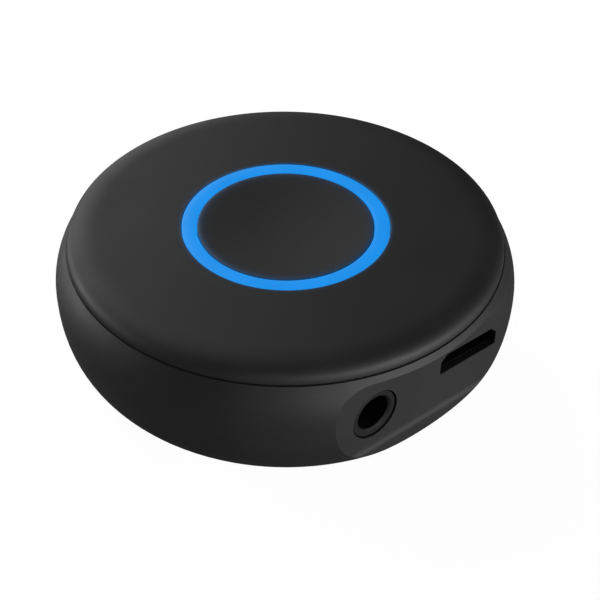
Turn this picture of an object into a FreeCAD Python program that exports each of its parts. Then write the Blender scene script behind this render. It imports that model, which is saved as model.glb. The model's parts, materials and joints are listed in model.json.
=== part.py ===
# Bluetooth audio receiver: a round puck, 45 mm across and 15 mm high.
#
# Frame: +Z is up and the origin is the centre of the foot's underside.
# The port flat faces -Y, with the 3.5 mm jack at -X and the USB micro-B socket at +X.
# All sizes are in millimetres.

import FreeCAD, Part
import math
import os

from FreeCAD import Vector

# ---- Body: the outside shape ---------------------------------------------------------------------
body_radius = 22.5          # at the waist, the widest level
waist_z = 9.35
height = 15.0
base_z = 0.35               # underside of the shell, above the foot's own underside
base_radius = 14.0          # edge of the flat underside
side_fullness = 0.682       # 0.55 would make the lower side an elliptic arc
rim_inset = 1.38            # how far the parting line lies inside the waist
cover_edge_height = 1.54    # from the parting line up to the flat top
cover_edge_width = 3.0      # from the parting line in to the flat top
cover_edge_fullness = 0.687
parting_groove = 0.12       # height of the fine groove between cover and shell
parting_groove_depth = 0.5

# ---- Walls ---------------------------------------------------------------------------------------
cover_wall = 1.4
floor_wall = 1.3
rim_wall = 1.0              # at the shell's rim
floor_corner_inset = 0.8    # from the outside's flat underside in to the cavity's flat floor
cavity_straight_z = 8.0     # the cavity's side is straight above this level
flat_wall = 1.3             # behind the port flat

# ---- Port flat -----------------------------------------------------------------------------------
flat_depth = 2.58           # how far the flat lies inside the waist
flat_lip = 0.68             # from the parting line down to the flat's upper edge
flat_lip_round = 0.25
flat_corner_round = 4.5     # on the recess's two upper corners, seen from the front
flat_corner_spare = 0.65    # from the flat's natural ends at the waist out to the recess's sides
flat_bend_z = 4.0           # below this level the flat leans in
flat_lean = 4.0             # degrees
flat_bend_width = 0.9       # of the soft bend between the two
port_spread = 5.75          # from the middle of the flat to each port's axis

# ---- Fits ----------------------------------------------------------------------------------------
slip_gap = 0.1              # between parts that drop into each other
seat_gap = 0.05             # between faces that are set on glue or hot-staked
board_gap = 0.4             # around the board's edge
button_gap = 0.1            # around the button

# ---- Cover: snap skirt and the opening for the light ring ----------------------------------------
skirt_thickness = 1.0
skirt_depth = 1.5           # below the shell's rim
catch_angles = (0, 55, 90, 125, 180)
catch_width = 5.0
catch_height = 0.5
catch_bite = 0.3
catch_above_end = 0.3       # from the skirt's lower end up to the catch
edge_round = 0.15           # on the opening's and the button's upper edges

# ---- Light ring ----------------------------------------------------------------------------------
ring_inner_radius = 8.65
ring_outer_radius = 10.05
ring_crown = 0.12           # the ring's middle stands this much above its edges
ring_edge_drop = 0.12       # the ring's edges lie this much below the flat top
ring_flange_width = 1.15
ring_flange_thickness = 0.65
ring_lip_depth = 1.9        # from the flat top down to the inner lip's underside
ring_skirt_gap = 0.15       # from the button's flange out to the ring's skirt
ring_skirt_drop = 0.5       # below the flange

# ---- Retainer under the light ring ---------------------------------------------------------------
retainer_thickness = 0.65
retainer_rim = 1.8          # outside the ring's flange
retainer_pin_radius = 0.5
retainer_pin_angles = (45, 135, 225, 315)
retainer_head_radius = 0.85
retainer_head_height = 0.22

# ---- Button --------------------------------------------------------------------------------------
button_top_drop = 0.1       # the button's edge lies this much below the flat top
button_dish_depth = 0.55
button_dish_margin = 0.45   # flat edge outside the dish
button_flange_width = 0.7
button_flange_thickness = 0.5
button_wall = 1.2
button_skirt_wall = 1.0
button_post_radius = 1.4
button_travel = 0.25
button_play = 0.03          # between the button's post and the switch

# ---- Tactile switch ------------------------------------------------------------------------------
switch_size = 4.5
switch_base_height = 0.95
switch_floor = 0.22
switch_cavity_radius = 1.9
switch_plate = 0.15
switch_plunger_radius = 1.2
switch_plunger_height = 0.85
switch_flange_radius = 1.7
switch_flange_height = 0.3
switch_dome_radius = 1.75
switch_dome_sheet = 0.07
switch_terminal_width = 0.6
switch_terminal_length = 0.7
switch_terminal_thickness = 0.15

# ---- Main board ----------------------------------------------------------------------------------
board_drop = 2.0            # from the cover's underside down to the board's upper face
board_thickness = 1.0
board_hole_radius = 0.95
antenna_angle = 60

# ---- Screws and their bosses ---------------------------------------------------------------------
screw_angles = (90, 190, 350)
screw_radius = 0.78         # thread's outside
screw_length = 5.0          # below the head
screw_head_radius = 1.45
screw_head_height = 0.8
screw_recess_width = 0.35
screw_recess_depth = 0.45
boss_radius = 1.9
boss_hole_gap = 0.02
boss_hole_spare = 0.4       # below the screw's end

# ---- 3.5 mm jack ---------------------------------------------------------------------------------
jack_bore_radius = 1.8
jack_mouth_chamfer = 0.2
jack_nose_radius = 2.45
jack_nose_gap = 0.15        # around the nose, in the shell's hole
jack_nose_recess = 0.15     # behind the flat
jack_width = 6.0
jack_body_height = 5.1
jack_length = 12.1
jack_front_wall = 2.5
jack_rear_wall = 2.4
jack_chamber_width = 4.6
jack_chamber_height = 4.1
jack_spring_sheet = 0.2
jack_spring_width = 1.2
jack_spring_reach = 0.35    # how far a spring's bend reaches into the bore
jack_leg_length = 0.7       # below the board's underside level, into the board

# ---- USB micro-B socket --------------------------------------------------------------------------
usb_width = 7.5
usb_height = 2.5
usb_length = 5.3
usb_sheet = 0.27
usb_corner = 0.75           # on the two corners next to the board
usb_recess = 0.6            # the socket's front lies this deep in the flat's wall
usb_slot_width = 7.1        # the opening in the flat
usb_slot_height = 2.15
usb_slot_corner = 0.7
usb_tongue_width = 3.9
usb_tongue_thickness = 0.6
usb_tongue_length = 3.3
usb_back_wall = 1.2
usb_contact_pitch = 0.65
usb_contact_width = 0.25
usb_contact_thickness = 0.1
usb_contact_tail = 0.8

# ---- Battery -------------------------------------------------------------------------------------
battery_length = 22.0
battery_width = 16.0
battery_thickness = 3.2
battery_gap = 0.3           # behind the jack
battery_round = 1.2
battery_tape_thickness = 0.3
battery_tape_margin = 2.0    # around the tape, under the cell
guard_thickness = 0.6
guard_height = 2.4
guard_length = 13.0
lead_radius = 0.4
lead_spread = 1.6
lead_shift = 2.7            # from the cell's middle towards +Y
lead_reach = 4.8            # out from the guard to the leads' upright run

# ---- Rubber foot ---------------------------------------------------------------------------------
foot_radius = 12.9
foot_seat_depth = 0.6
foot_groove_radius = 10.6
foot_groove_width = 0.8
foot_groove_depth = 0.25
foot_edge_round = 0.3

# ---- Worked out from the above -------------------------------------------------------------------
parting_radius = body_radius - rim_inset
parting_z = height - cover_edge_height
shell_rim_z = parting_z - parting_groove
rim_inner_radius = parting_radius - rim_wall
floor_z = base_z + floor_wall
cover_under_z = height - cover_wall
flat_y = -(body_radius - flat_depth)
flat_inside_y = flat_y + flat_wall
flat_top_z = parting_z - flat_lip
board_top_z = cover_under_z - board_drop
board_under_z = board_top_z - board_thickness
board_radius = rim_inner_radius - board_gap
board_flat_y = flat_inside_y + board_gap
skirt_outer_radius = rim_inner_radius - slip_gap
skirt_inner_radius = skirt_outer_radius - skirt_thickness
skirt_end_z = shell_rim_z - skirt_depth
opening_radius = ring_outer_radius + seat_gap
ring_flange_radius = ring_outer_radius + ring_flange_width
ring_flange_top_z = cover_under_z - seat_gap
ring_flange_under_z = ring_flange_top_z - ring_flange_thickness
ring_lip_z = height - ring_lip_depth
ring_end_z = ring_flange_under_z - ring_skirt_drop
retainer_top_z = ring_flange_under_z - seat_gap
retainer_under_z = retainer_top_z - retainer_thickness
retainer_outer_radius = ring_flange_radius + retainer_rim
retainer_pin_circle = ring_flange_radius + seat_gap + retainer_rim / 2
button_radius = ring_inner_radius - button_gap
ring_skirt_radius = button_radius + button_flange_width + ring_skirt_gap
button_top_z = height - button_top_drop
button_flange_top_z = ring_lip_z - seat_gap
button_flange_under_z = button_flange_top_z - button_flange_thickness
switch_cavity_z = board_top_z + switch_floor
switch_plate_z = board_top_z + switch_base_height
switch_flange_top_z = switch_plate_z - seat_gap
switch_flange_z = switch_flange_top_z - switch_flange_height
switch_top_z = switch_flange_z + switch_plunger_height
boss_circle = (retainer_outer_radius + skirt_inner_radius) / 2
jack_z = board_under_z - jack_body_height / 2
jack_body_front_y = flat_inside_y + slip_gap
usb_top_z = board_under_z
usb_z = usb_top_z - usb_height / 2
usb_front_y = flat_y + usb_recess + slip_gap
jack_back_y = jack_body_front_y + jack_length
battery_y = jack_back_y + battery_gap + battery_width / 2
battery_z = floor_z + battery_tape_thickness
led_circle = (ring_skirt_radius + ring_outer_radius) / 2
far = 4 * body_radius       # past everything, for cutting tools

UP = Vector(0, 0, 1)
ORIGIN = Vector(0, 0, 0)
slot_edge = (usb_slot_width, usb_slot_height, usb_slot_corner)


# ---- Helpers -------------------------------------------------------------------------------------
def box(x_low, x_high, y_low, y_high, z_low, z_high):
    """A box between two corners."""
    return Part.makeBox(x_high - x_low, y_high - y_low, z_high - z_low, Vector(x_low, y_low, z_low))


def block(x, y, z, length, width, tall):
    """A box centred on (x, y) that stands on z."""
    return box(x - length / 2, x + length / 2, y - width / 2, y + width / 2, z, z + tall)


def rod(radius, start, end):
    """A cylinder from one point to another."""
    return Part.makeCylinder(radius, (end - start).Length, start, end - start)


def turned(edges):
    """A solid turned about the Z axis from a closed outline in the XZ plane."""
    return Part.Face(Part.Wire(edges)).revolve(ORIGIN, UP, 360)


def lines(points):
    """Straight edges through (r, z) points in the XZ plane."""
    vectors = [Vector(r, 0, z) for r, z in points]
    return [Part.LineSegment(a, b).toShape() for a, b in zip(vectors, vectors[1:])]


def bend(points):
    """A Bezier edge whose poles are (r, z) points."""
    curve = Part.BezierCurve()
    curve.setPoles([Vector(r, 0, z) for r, z in points])
    return curve.toShape()


def ring_of(points):
    """A turned solid with a straight-sided outline."""
    return turned(lines(list(points) + [points[0]]))


def extruded(points, direction):
    """A prism on a closed outline of 3-D points."""
    wire = Part.makePolygon(list(points) + [points[0]])
    return Part.Face(wire).extrude(direction)


def at_angle(shape, angle):
    """A copy turned about the Z axis."""
    copy = shape.copy()
    copy.rotate(ORIGIN, UP, angle)
    return copy


def on_circle(radius, angle, z):
    """A point on a circle about the Z axis."""
    turn = math.radians(angle)
    return Vector(radius * math.cos(turn), radius * math.sin(turn), z)


def fused(shapes):
    """One solid from touching shapes."""
    return shapes[0].multiFuse(shapes[1:]).removeSplitter()


def save(name, shape):
    """Writes one node and prints its volume."""
    solids = shape.Solids
    result = solids[0] if len(solids) == 1 else Part.makeCompound(solids)
    result.exportStep(f"parts/{name}.step")
    print(f"{name}: {len(solids)} solid(s), {result.Volume:.2f} mm3, valid {result.isValid()}")


# ---- Shells --------------------------------------------------------------------------------------
def lower_side(radius, z_top, floor_radius, z_floor):
    """The poles of the side's curve, from the level where it is upright down to a flat floor."""
    across = radius - floor_radius
    down = z_top - z_floor
    return [
        (radius, z_top),
        (radius, z_top - side_fullness * down),
        (floor_radius + side_fullness * across, z_floor),
        (floor_radius, z_floor),
    ]


def upper_side():
    """The arc from the waist up to the shell's rim, upright at the waist."""
    rise = parting_z - waist_z
    arc_radius = (rise**2 + rim_inset**2) / (2 * rim_inset)
    centre_r = body_radius - arc_radius

    def on_arc(z):
        return Vector(centre_r + math.sqrt(arc_radius**2 - (z - waist_z) ** 2), 0, z)

    rim = on_arc(shell_rim_z)
    middle = on_arc((waist_z + shell_rim_z) / 2)
    return Part.Arc(rim, middle, Vector(body_radius, 0, waist_z)).toShape(), rim.x


def cavity():
    """The space inside the shell: straight above, curved below, with a flat behind the ports."""
    floor_radius = base_radius - floor_corner_inset
    poles = lower_side(rim_inner_radius, cavity_straight_z, floor_radius, floor_z)
    top = height
    outline = lines([(0, floor_z), (0, top), (rim_inner_radius, top), poles[0]])
    outline += [bend(poles)]
    outline += lines([poles[-1], (0, floor_z)])
    space = turned(outline)
    return space.cut(box(-far, far, -far, flat_inside_y, -far, far))


def usb_outline(width, tall, corner, y):
    """The socket's outline seen from the front, with its two upper corners cut."""
    half = width / 2
    low, top = usb_z - tall / 2, usb_z + tall / 2
    corners = [
        (-half, low),
        (half, low),
        (half, top - corner),
        (half - corner, top),
        (-half + corner, top),
        (-half, top - corner),
    ]
    return [Vector(port_spread + x, y, z) for x, z in corners]


def port_pocket():
    """What is cut away to leave the port flat: everything in front of it, up to the lip."""
    lean = math.radians(flat_lean)
    out = -flat_y
    half_bend = flat_bend_width / 2
    bend_end = (out - half_bend * math.sin(lean), flat_bend_z - half_bend * math.cos(lean))
    outline = lines([(far, -far), (far, flat_top_z), (out, flat_top_z), (out, flat_bend_z + half_bend)])
    outline += [bend([(out, flat_bend_z + half_bend), (out, flat_bend_z), bend_end])]
    outline += lines([bend_end, (out - (flat_bend_z + far) * math.tan(lean), -far), (far, -far)])
    cutter = at_angle(Part.Face(Part.Wire(outline)), -90)
    cutter.translate(Vector(-far, 0, 0))
    cutter = cutter.extrude(Vector(2 * far, 0, 0))
    inner_edges = [
        e for e in cutter.Edges
        if all(abs(v.Y - flat_y) < 1e-6 and abs(v.Z - flat_top_z) < 1e-6 for v in e.Vertexes)
    ]
    cutter = cutter.makeFillet(flat_lip_round, inner_edges)
    half = math.sqrt(body_radius**2 - flat_y**2) + flat_corner_spare
    front = box(-half, half, -far, 0, -far, flat_top_z)
    corners = [
        e for e in front.Edges
        if all(abs(abs(v.X) - half) < 1e-6 and abs(v.Z - flat_top_z) < 1e-6 for v in e.Vertexes)
    ]
    return cutter.common(front.makeFillet(flat_corner_round, corners))


def bottom_shell():
    side, rim_radius = upper_side()
    poles = lower_side(body_radius, waist_z, base_radius, base_z)
    outline = lines([(0, base_z), (0, shell_rim_z), (rim_radius, shell_rim_z)])
    outline += [side, bend(poles)]
    outline += lines([poles[-1], (0, base_z)])
    shell = turned(outline).cut(port_pocket()).cut(cavity())
    shell = shell.fuse([boss(angle) for angle in screw_angles]).removeSplitter()
    for angle in screw_angles:
        end = on_circle(boss_circle, angle, board_top_z - screw_length - boss_hole_spare)
        pilot = rod(screw_radius + boss_hole_gap, end, on_circle(boss_circle, angle, far))
        shell = shell.cut(pilot)
    for angle in catch_angles:
        shell = shell.cut(at_angle(catch(slip_gap), angle))
    foot_seat = Part.makeCylinder(foot_radius + slip_gap, foot_seat_depth, Vector(0, 0, base_z))
    jack_hole = rod(
        jack_nose_radius + jack_nose_gap,
        Vector(-port_spread, flat_y - 1, jack_z),
        Vector(-port_spread, flat_inside_y + 1, jack_z),
    )
    usb_slot = extruded(usb_outline(*slot_edge, flat_y - 1), Vector(0, flat_wall + 2, 0))
    return shell.cut([foot_seat, jack_hole, usb_slot] + port_rooms())


def port_rooms():
    """The rooms in the wall behind the flat, open upwards so that the board can be lowered in."""
    jack_half = jack_width / 2 + slip_gap
    usb_half = usb_width / 2 + slip_gap
    return [
        box(-port_spread - jack_half, -port_spread + jack_half, flat_inside_y, -boss_circle,
            board_under_z - jack_body_height - slip_gap, far),
        box(port_spread - usb_half, port_spread + usb_half, flat_y + usb_recess, -boss_circle,
            usb_top_z - usb_height - slip_gap, board_top_z),
        box(port_spread - usb_half, port_spread + usb_half, flat_inside_y, -boss_circle,
            board_top_z, far),
    ]


def boss(angle):
    """A post that carries the board, grown into the floor and the side."""
    foot = on_circle(boss_circle, angle, floor_z)
    return rod(boss_radius, foot, on_circle(boss_circle, angle, board_under_z))


def catch(gap):
    """A snap catch at +X on the cover's skirt. With a gap, it is the room for it in the shell."""
    low = skirt_end_z + catch_above_end - gap
    top = low + catch_height + 2 * gap
    inside = skirt_outer_radius - skirt_thickness / 2
    outside = skirt_outer_radius + catch_bite + gap
    tall = top - low
    slope = min(catch_bite, tall / 2)
    outline = [
        Vector(inside, 0, low),
        Vector(outside - slope / 2, 0, low),
        Vector(outside, 0, low + slope),
        Vector(outside, 0, top),
        Vector(inside, 0, top),
    ]
    width = catch_width + 2 * gap
    half_angle = math.degrees(width / 2 / skirt_outer_radius)
    arc = Part.Face(Part.makePolygon(outline + [outline[0]])).revolve(ORIGIN, UP, 2 * half_angle)
    return at_angle(arc, -half_angle)


def cover_edge():
    """The cover's rounded edge, from the flat top down to the parting line."""
    across = cover_edge_fullness * cover_edge_width
    down = cover_edge_fullness * cover_edge_height
    return bend([
        (parting_radius - cover_edge_width, height),
        (parting_radius - cover_edge_width + across, height),
        (parting_radius, parting_z + down),
        (parting_radius, parting_z),
    ])


def top_cover():
    step_radius = parting_radius - parting_groove_depth
    outline = lines([(opening_radius, height), (parting_radius - cover_edge_width, height)])
    outline += [cover_edge()]
    outline += lines([
        (parting_radius, parting_z),
        (step_radius, parting_z),
        (step_radius, shell_rim_z),
        (skirt_inner_radius, shell_rim_z),
        (skirt_inner_radius, cover_under_z),
        (opening_radius, cover_under_z),
        (opening_radius, height),
    ])
    cover = turned(outline)
    upper_edge = [
        e for e in cover.Edges
        if all(abs(v.Z - height) < 1e-6 and abs(math.hypot(v.X, v.Y) - opening_radius) < 1e-6
               for v in e.Vertexes)
    ]
    cover = cover.makeFillet(edge_round, upper_edge)
    skirt = ring_of([
        (skirt_inner_radius, skirt_end_z),
        (skirt_outer_radius, skirt_end_z),
        (skirt_outer_radius, shell_rim_z),
        (skirt_inner_radius, shell_rim_z),
    ])
    skirt = fused([skirt] + [at_angle(catch(0), angle) for angle in catch_angles])
    skirt = skirt.cut(box(-far, far, -far, flat_inside_y + slip_gap, -far, shell_rim_z))
    pins = [cover_pin(angle) for angle in retainer_pin_angles]
    return fused([cover, skirt] + pins)


def cover_pin(angle):
    """A pin under the cover, its end melted over to a head that holds the retainer."""
    head_z = retainer_under_z - retainer_head_height
    pin = rod(
        retainer_pin_radius,
        on_circle(retainer_pin_circle, angle, head_z),
        on_circle(retainer_pin_circle, angle, cover_under_z),
    )
    head = Part.makeCone(
        retainer_pin_radius,
        retainer_head_radius,
        retainer_head_height,
        on_circle(retainer_pin_circle, angle, head_z),
    )
    return pin.fuse(head)


def rubber_foot():
    top = base_z + foot_seat_depth
    pad = Part.makeCylinder(foot_radius, top)
    pad = pad.makeFillet(foot_edge_round, [e for e in pad.Edges if abs(e.CenterOfMass.z) < 1e-6
                                          and len(e.Vertexes) == 1])
    groove = ring_of([
        (foot_groove_radius, 0),
        (foot_groove_radius + foot_groove_width, 0),
        (foot_groove_radius + foot_groove_width, foot_groove_depth),
        (foot_groove_radius, foot_groove_depth),
    ])
    return pad.cut(groove)


# ---- Light ring and button -----------------------------------------------------------------------
def light_ring():
    edge_z = height - ring_edge_drop
    middle = (ring_inner_radius + ring_outer_radius) / 2
    crown = Part.Arc(
        Vector(ring_inner_radius, 0, edge_z),
        Vector(middle, 0, edge_z + ring_crown),
        Vector(ring_outer_radius, 0, edge_z),
    ).toShape()
    rest = lines([
        (ring_outer_radius, edge_z),
        (ring_outer_radius, ring_flange_top_z),
        (ring_flange_radius, ring_flange_top_z),
        (ring_flange_radius, ring_flange_under_z),
        (ring_outer_radius, ring_flange_under_z),
        (ring_outer_radius, ring_end_z),
        (ring_skirt_radius, ring_end_z),
        (ring_skirt_radius, ring_lip_z),
        (ring_inner_radius, ring_lip_z),
        (ring_inner_radius, edge_z),
    ])
    return turned([crown] + rest)


def ring_retainer():
    step_radius = ring_flange_radius + seat_gap
    body = ring_of([
        (ring_outer_radius + slip_gap, retainer_under_z),
        (retainer_outer_radius, retainer_under_z),
        (retainer_outer_radius, ring_flange_top_z),
        (step_radius, ring_flange_top_z),
        (step_radius, retainer_top_z),
        (ring_outer_radius + slip_gap, retainer_top_z),
    ])
    holes = [
        rod(
            retainer_pin_radius + seat_gap,
            on_circle(retainer_pin_circle, angle, retainer_under_z - 1),
            on_circle(retainer_pin_circle, angle, height),
        )
        for angle in retainer_pin_angles
    ]
    return body.cut(holes)


def button_cap():
    dish_radius = button_radius - button_dish_margin
    ball_radius = (dish_radius**2 + button_dish_depth**2) / (2 * button_dish_depth)
    dish_floor_z = button_top_z - button_dish_depth
    skirt_z = button_flange_under_z
    web_z = dish_floor_z - button_wall
    post_end_z = switch_top_z + button_play
    flange_radius = button_radius + button_flange_width
    body = ring_of([
        (0, web_z),
        (button_radius - button_skirt_wall, web_z),
        (button_radius - button_skirt_wall, skirt_z),
        (flange_radius, skirt_z),
        (flange_radius, button_flange_top_z),
        (button_radius, button_flange_top_z),
        (button_radius, button_top_z),
        (0, button_top_z),
    ])
    post_length = web_z - post_end_z + button_wall / 2
    post = Part.makeCylinder(button_post_radius, post_length, Vector(0, 0, post_end_z))
    ball = Part.makeSphere(ball_radius, Vector(0, 0, dish_floor_z + ball_radius))
    cap = fused([body, post]).cut(ball)
    upper_edge = [
        e for e in cap.Edges
        if all(abs(v.Z - button_top_z) < 1e-6 and abs(math.hypot(v.X, v.Y) - button_radius) < 1e-6
               for v in e.Vertexes)
    ]
    return cap.makeFillet(edge_round, upper_edge)


# ---- Tactile switch ------------------------------------------------------------------------------
def switch_base():
    base = block(0, 0, board_top_z, switch_size, switch_size, switch_base_height)
    well = Part.makeCylinder(switch_cavity_radius, switch_base_height, Vector(0, 0, switch_cavity_z))
    return base.cut(well)


def switch_frame():
    """The sheet cover: a plate with the plunger's hole, and two side tabs folded down the base."""
    half = switch_size / 2
    plate = box(-half - switch_plate, half + switch_plate, -half, half,
                switch_plate_z, switch_plate_z + switch_plate)
    hole = Part.makeCylinder(switch_plunger_radius + slip_gap, 1, Vector(0, 0, switch_plate_z - 0.5))
    tabs = [
        box(side * half + min(0, side * switch_plate), side * half + max(0, side * switch_plate),
            -half / 2, half / 2, board_top_z + switch_floor, switch_plate_z)
        for side in (-1, 1)
    ]
    return fused([plate] + tabs).cut(hole)


def switch_plunger():
    flange = Part.makeCylinder(switch_flange_radius, switch_flange_height, Vector(0, 0, switch_flange_z))
    stem = Part.makeCylinder(switch_plunger_radius, switch_plunger_height, Vector(0, 0, switch_flange_z))
    return fused([flange, stem])


def switch_dome():
    """A snap dome: a shallow cap of sheet between two arcs, standing on the cavity's floor."""
    foot_z = switch_cavity_z + 0.01
    crown_z = switch_flange_z - seat_gap
    low_crown_z = crown_z - switch_dome_sheet
    outer = Part.Arc(
        Vector(-switch_dome_radius, 0, foot_z + switch_dome_sheet),
        Vector(0, 0, crown_z),
        Vector(switch_dome_radius, 0, foot_z + switch_dome_sheet),
    )
    inner = Part.Arc(
        Vector(-switch_dome_radius, 0, foot_z),
        Vector(0, 0, low_crown_z),
        Vector(switch_dome_radius, 0, foot_z),
    )
    middle_out = outer.value(outer.parameter(Vector(switch_dome_radius / 2, 0, crown_z)))
    middle_in = inner.value(inner.parameter(Vector(switch_dome_radius / 2, 0, low_crown_z)))
    top = Part.Arc(Vector(0, 0, crown_z), middle_out,
                   Vector(switch_dome_radius, 0, foot_z + switch_dome_sheet)).toShape()
    under = Part.Arc(Vector(switch_dome_radius, 0, foot_z), middle_in, Vector(0, 0, low_crown_z)).toShape()
    rim = lines([(switch_dome_radius, foot_z + switch_dome_sheet), (switch_dome_radius, foot_z)])
    axis = lines([(0, low_crown_z), (0, crown_z)])
    return turned([top] + rim + [under] + axis)


def switch_terminals():
    """Four flat solder terminals beside the base."""
    reach = switch_size / 2 + switch_terminal_length / 2
    spread = switch_size / 2 - switch_terminal_width
    return Part.makeCompound([
        block(x * spread, y * reach, board_top_z,
              switch_terminal_width, switch_terminal_length, switch_terminal_thickness)
        for x in (-1, 1) for y in (-1, 1)
    ])


# ---- Main board and what is on it ----------------------------------------------------------------
def main_board():
    board = Part.makeCylinder(board_radius, board_thickness, Vector(0, 0, board_under_z))
    board = board.cut(box(-far, far, -far, board_flat_y, -far, far))
    holes = [
        rod(
            board_hole_radius,
            on_circle(boss_circle, angle, board_under_z - 1),
            on_circle(boss_circle, angle, board_top_z + 1),
        )
        for angle in screw_angles
    ]
    legs = [
        block(x, y, board_under_z, jack_spring_width + 2 * slip_gap,
              jack_spring_sheet + 2 * slip_gap, board_thickness)
        for x, y in jack_leg_places()
    ]
    return board.cut(holes + legs)


def board_screws():
    """Three pan-head screws, with a cross recess."""
    screws = []
    for angle in screw_angles:
        seat = on_circle(boss_circle, angle, board_top_z)
        shank = Part.makeCylinder(screw_radius, screw_length, seat - UP * screw_length)
        head = Part.makeCylinder(screw_head_radius, screw_head_height, seat)
        head = head.makeFillet(screw_head_height / 2, [
            e for e in head.Edges
            if len(e.Vertexes) == 1 and abs(e.CenterOfMass.z - seat.z - screw_head_height) < 1e-6
        ])
        recess_z = seat.z + screw_head_height - screw_recess_depth
        span = 1.4 * screw_head_radius
        cross = [
            block(seat.x, seat.y, recess_z, span, screw_recess_width, 1),
            block(seat.x, seat.y, recess_z, screw_recess_width, span, 1),
        ]
        screws.append(fused([shank, head]).cut(cross))
    return Part.makeCompound(screws)


def ring_leds():
    """Eight lamps on the board under the light ring, each a base with a domed lens block."""
    leds = []
    for turn in range(8):
        base = block(led_circle, 0, board_top_z, 0.8, 1.6, 0.25)
        lens = block(led_circle, 0, board_top_z + 0.25, 0.76, 1.1, 0.3)
        leds.append(at_angle(fused([base, lens]), 22.5 + 45 * turn))
    return Part.makeCompound(leds)


def chip(x, y, z, length, width, tall, pads, pitch, under=False):
    """A square chip with a row of flat leads on each side, above or under the board."""
    lead_tall = 0.15
    lead_z = z if not under else z + tall - lead_tall
    solids = [block(x, y, z, length, width, tall)]
    reach = 0.25
    thick = pitch / 2
    for n in range(pads):
        along = (n - (pads - 1) / 2) * pitch
        for side in (-1, 1):
            lead_y = y + side * (width + reach) / 2
            lead_x = x + side * (length + reach) / 2
            solids.append(block(x + along, lead_y, lead_z, thick, reach, lead_tall))
            solids.append(block(lead_x, y + along, lead_z, reach, thick, lead_tall))
    return fused(solids)


def bluetooth_chip():
    return chip(0, 7.2, board_under_z - 0.85, 5.0, 5.0, 0.85, 9, 0.5, under=True)


def charger_chip():
    return chip(9.5, 3.0, board_under_z - 0.75, 2.6, 2.6, 0.75, 4, 0.6, under=True)


def crystal():
    """A metal can crystal beside the radio chip."""
    base = block(-6.0, 8.0, board_under_z - 0.2, 3.2, 2.5, 0.2)
    can = block(-6.0, 8.0, board_under_z - 0.7, 2.9, 2.2, 0.5)
    return fused([base, can])


def chip_antenna():
    """A ceramic antenna on the edge away from the ports, with a solder cap on each end."""
    body = block(boss_circle, 0, board_top_z, 2.0, 5.0, 1.0)
    caps = [block(boss_circle, side * 2.65, board_top_z, 2.04, 0.3, 1.04) for side in (-1, 1)]
    return at_angle(fused([body] + caps), antenna_angle)


def power_inductor():
    """A square wound inductor: two flanges with a coil between them."""
    x, y, z = 12.2, 8.0, board_under_z
    flanges = [block(x, y, z - 0.4, 3.0, 3.0, 0.4), block(x, y, z - 1.5, 3.0, 3.0, 0.4)]
    coil = Part.makeCylinder(1.35, 1.5, Vector(x, y, z - 1.5))
    return fused(flanges + [coil])


def audio_capacitors():
    """Two moulded coupling capacitors near the jack, each with a folded end lead."""
    parts = []
    for y in (-0.2, 2.6):
        body = block(-12.0, y, board_under_z - 1.5, 3.2, 1.6, 1.4)
        leads = [block(-12.0 + side * 1.55, y, board_under_z - 0.8, 0.5, 1.2, 0.8) for side in (-1, 1)]
        parts.append(fused([body] + leads))
    return Part.makeCompound(parts)


def small_chip(x, y, angle, under, long=1.0, wide=0.5, tall=0.5):
    """A chip resistor or capacitor: a body with two end caps that stand a little proud."""
    z = board_under_z - tall if under else board_top_z
    body = block(0, 0, z, long * 0.6, wide, tall)
    caps = [block(side * long * 0.4, 0, z, long * 0.2, wide + 0.04, tall) for side in (-1, 1)]
    part = at_angle(fused([body] + caps), angle)
    part.translate(Vector(x, y, 0))
    return part


def chip_capacitors():
    places = [
        (-4.4, 3.0, 90, True), (-3.2, 3.0, 90, True), (3.9, 4.2, 0, True), (4.6, 7.2, 90, True),
        (4.6, 9.4, 90, True), (9.5, 6.0, 0, True), (12.0, 3.2, 90, True), (-8.9, 5.6, 90, True),
        (3.6, -9.4, 0, True), (8.4, -9.4, 0, True), (12.2, 10.2, 40, False), (5.0, -3.6, 90, False),
    ]
    return Part.makeCompound([small_chip(*p) for p in places])


def chip_resistors():
    places = [
        (-2.0, 3.0, 90, True), (2.0, 3.2, 90, True), (6.0, -9.4, 0, True), (11.6, 0.4, 0, True),
        (-8.9, 8.4, 90, True), (-5.0, -3.6, 90, False), (-5.0, 3.6, 90, False), (5.0, 3.6, 90, False),
        (0.0, -5.4, 0, False), (0.0, 5.4, 0, False), (12.4, 7.6, 45, False),
    ]
    return Part.makeCompound([small_chip(*p, tall=0.35) for p in places])


# ---- 3.5 mm jack ---------------------------------------------------------------------------------
def jack_front_y():
    return flat_y + jack_nose_recess


def jack_chamber_y():
    """The front and the back of the room for the contact springs."""
    return jack_body_front_y + jack_front_wall, jack_back_y - jack_rear_wall


def jack_spring_places():
    """For each spring: its name, its side of the bore and where along it its bend lies."""
    front, back = jack_chamber_y()
    step = (back - front) / 4
    return {
        "jack_sleeve_spring": (-1, front + step),
        "jack_ring_spring": (1, front + 2 * step),
        "jack_tip_spring": (-1, front + 3.2 * step),
    }


def jack_leg_places():
    """Where the springs' legs go through the board, as (x, y)."""
    side_x = jack_width / 2 + slip_gap + jack_spring_sheet
    return [
        (-port_spread + side * (side_x + jack_spring_width / 2), y)
        for side, y in jack_spring_places().values()
    ]


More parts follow.
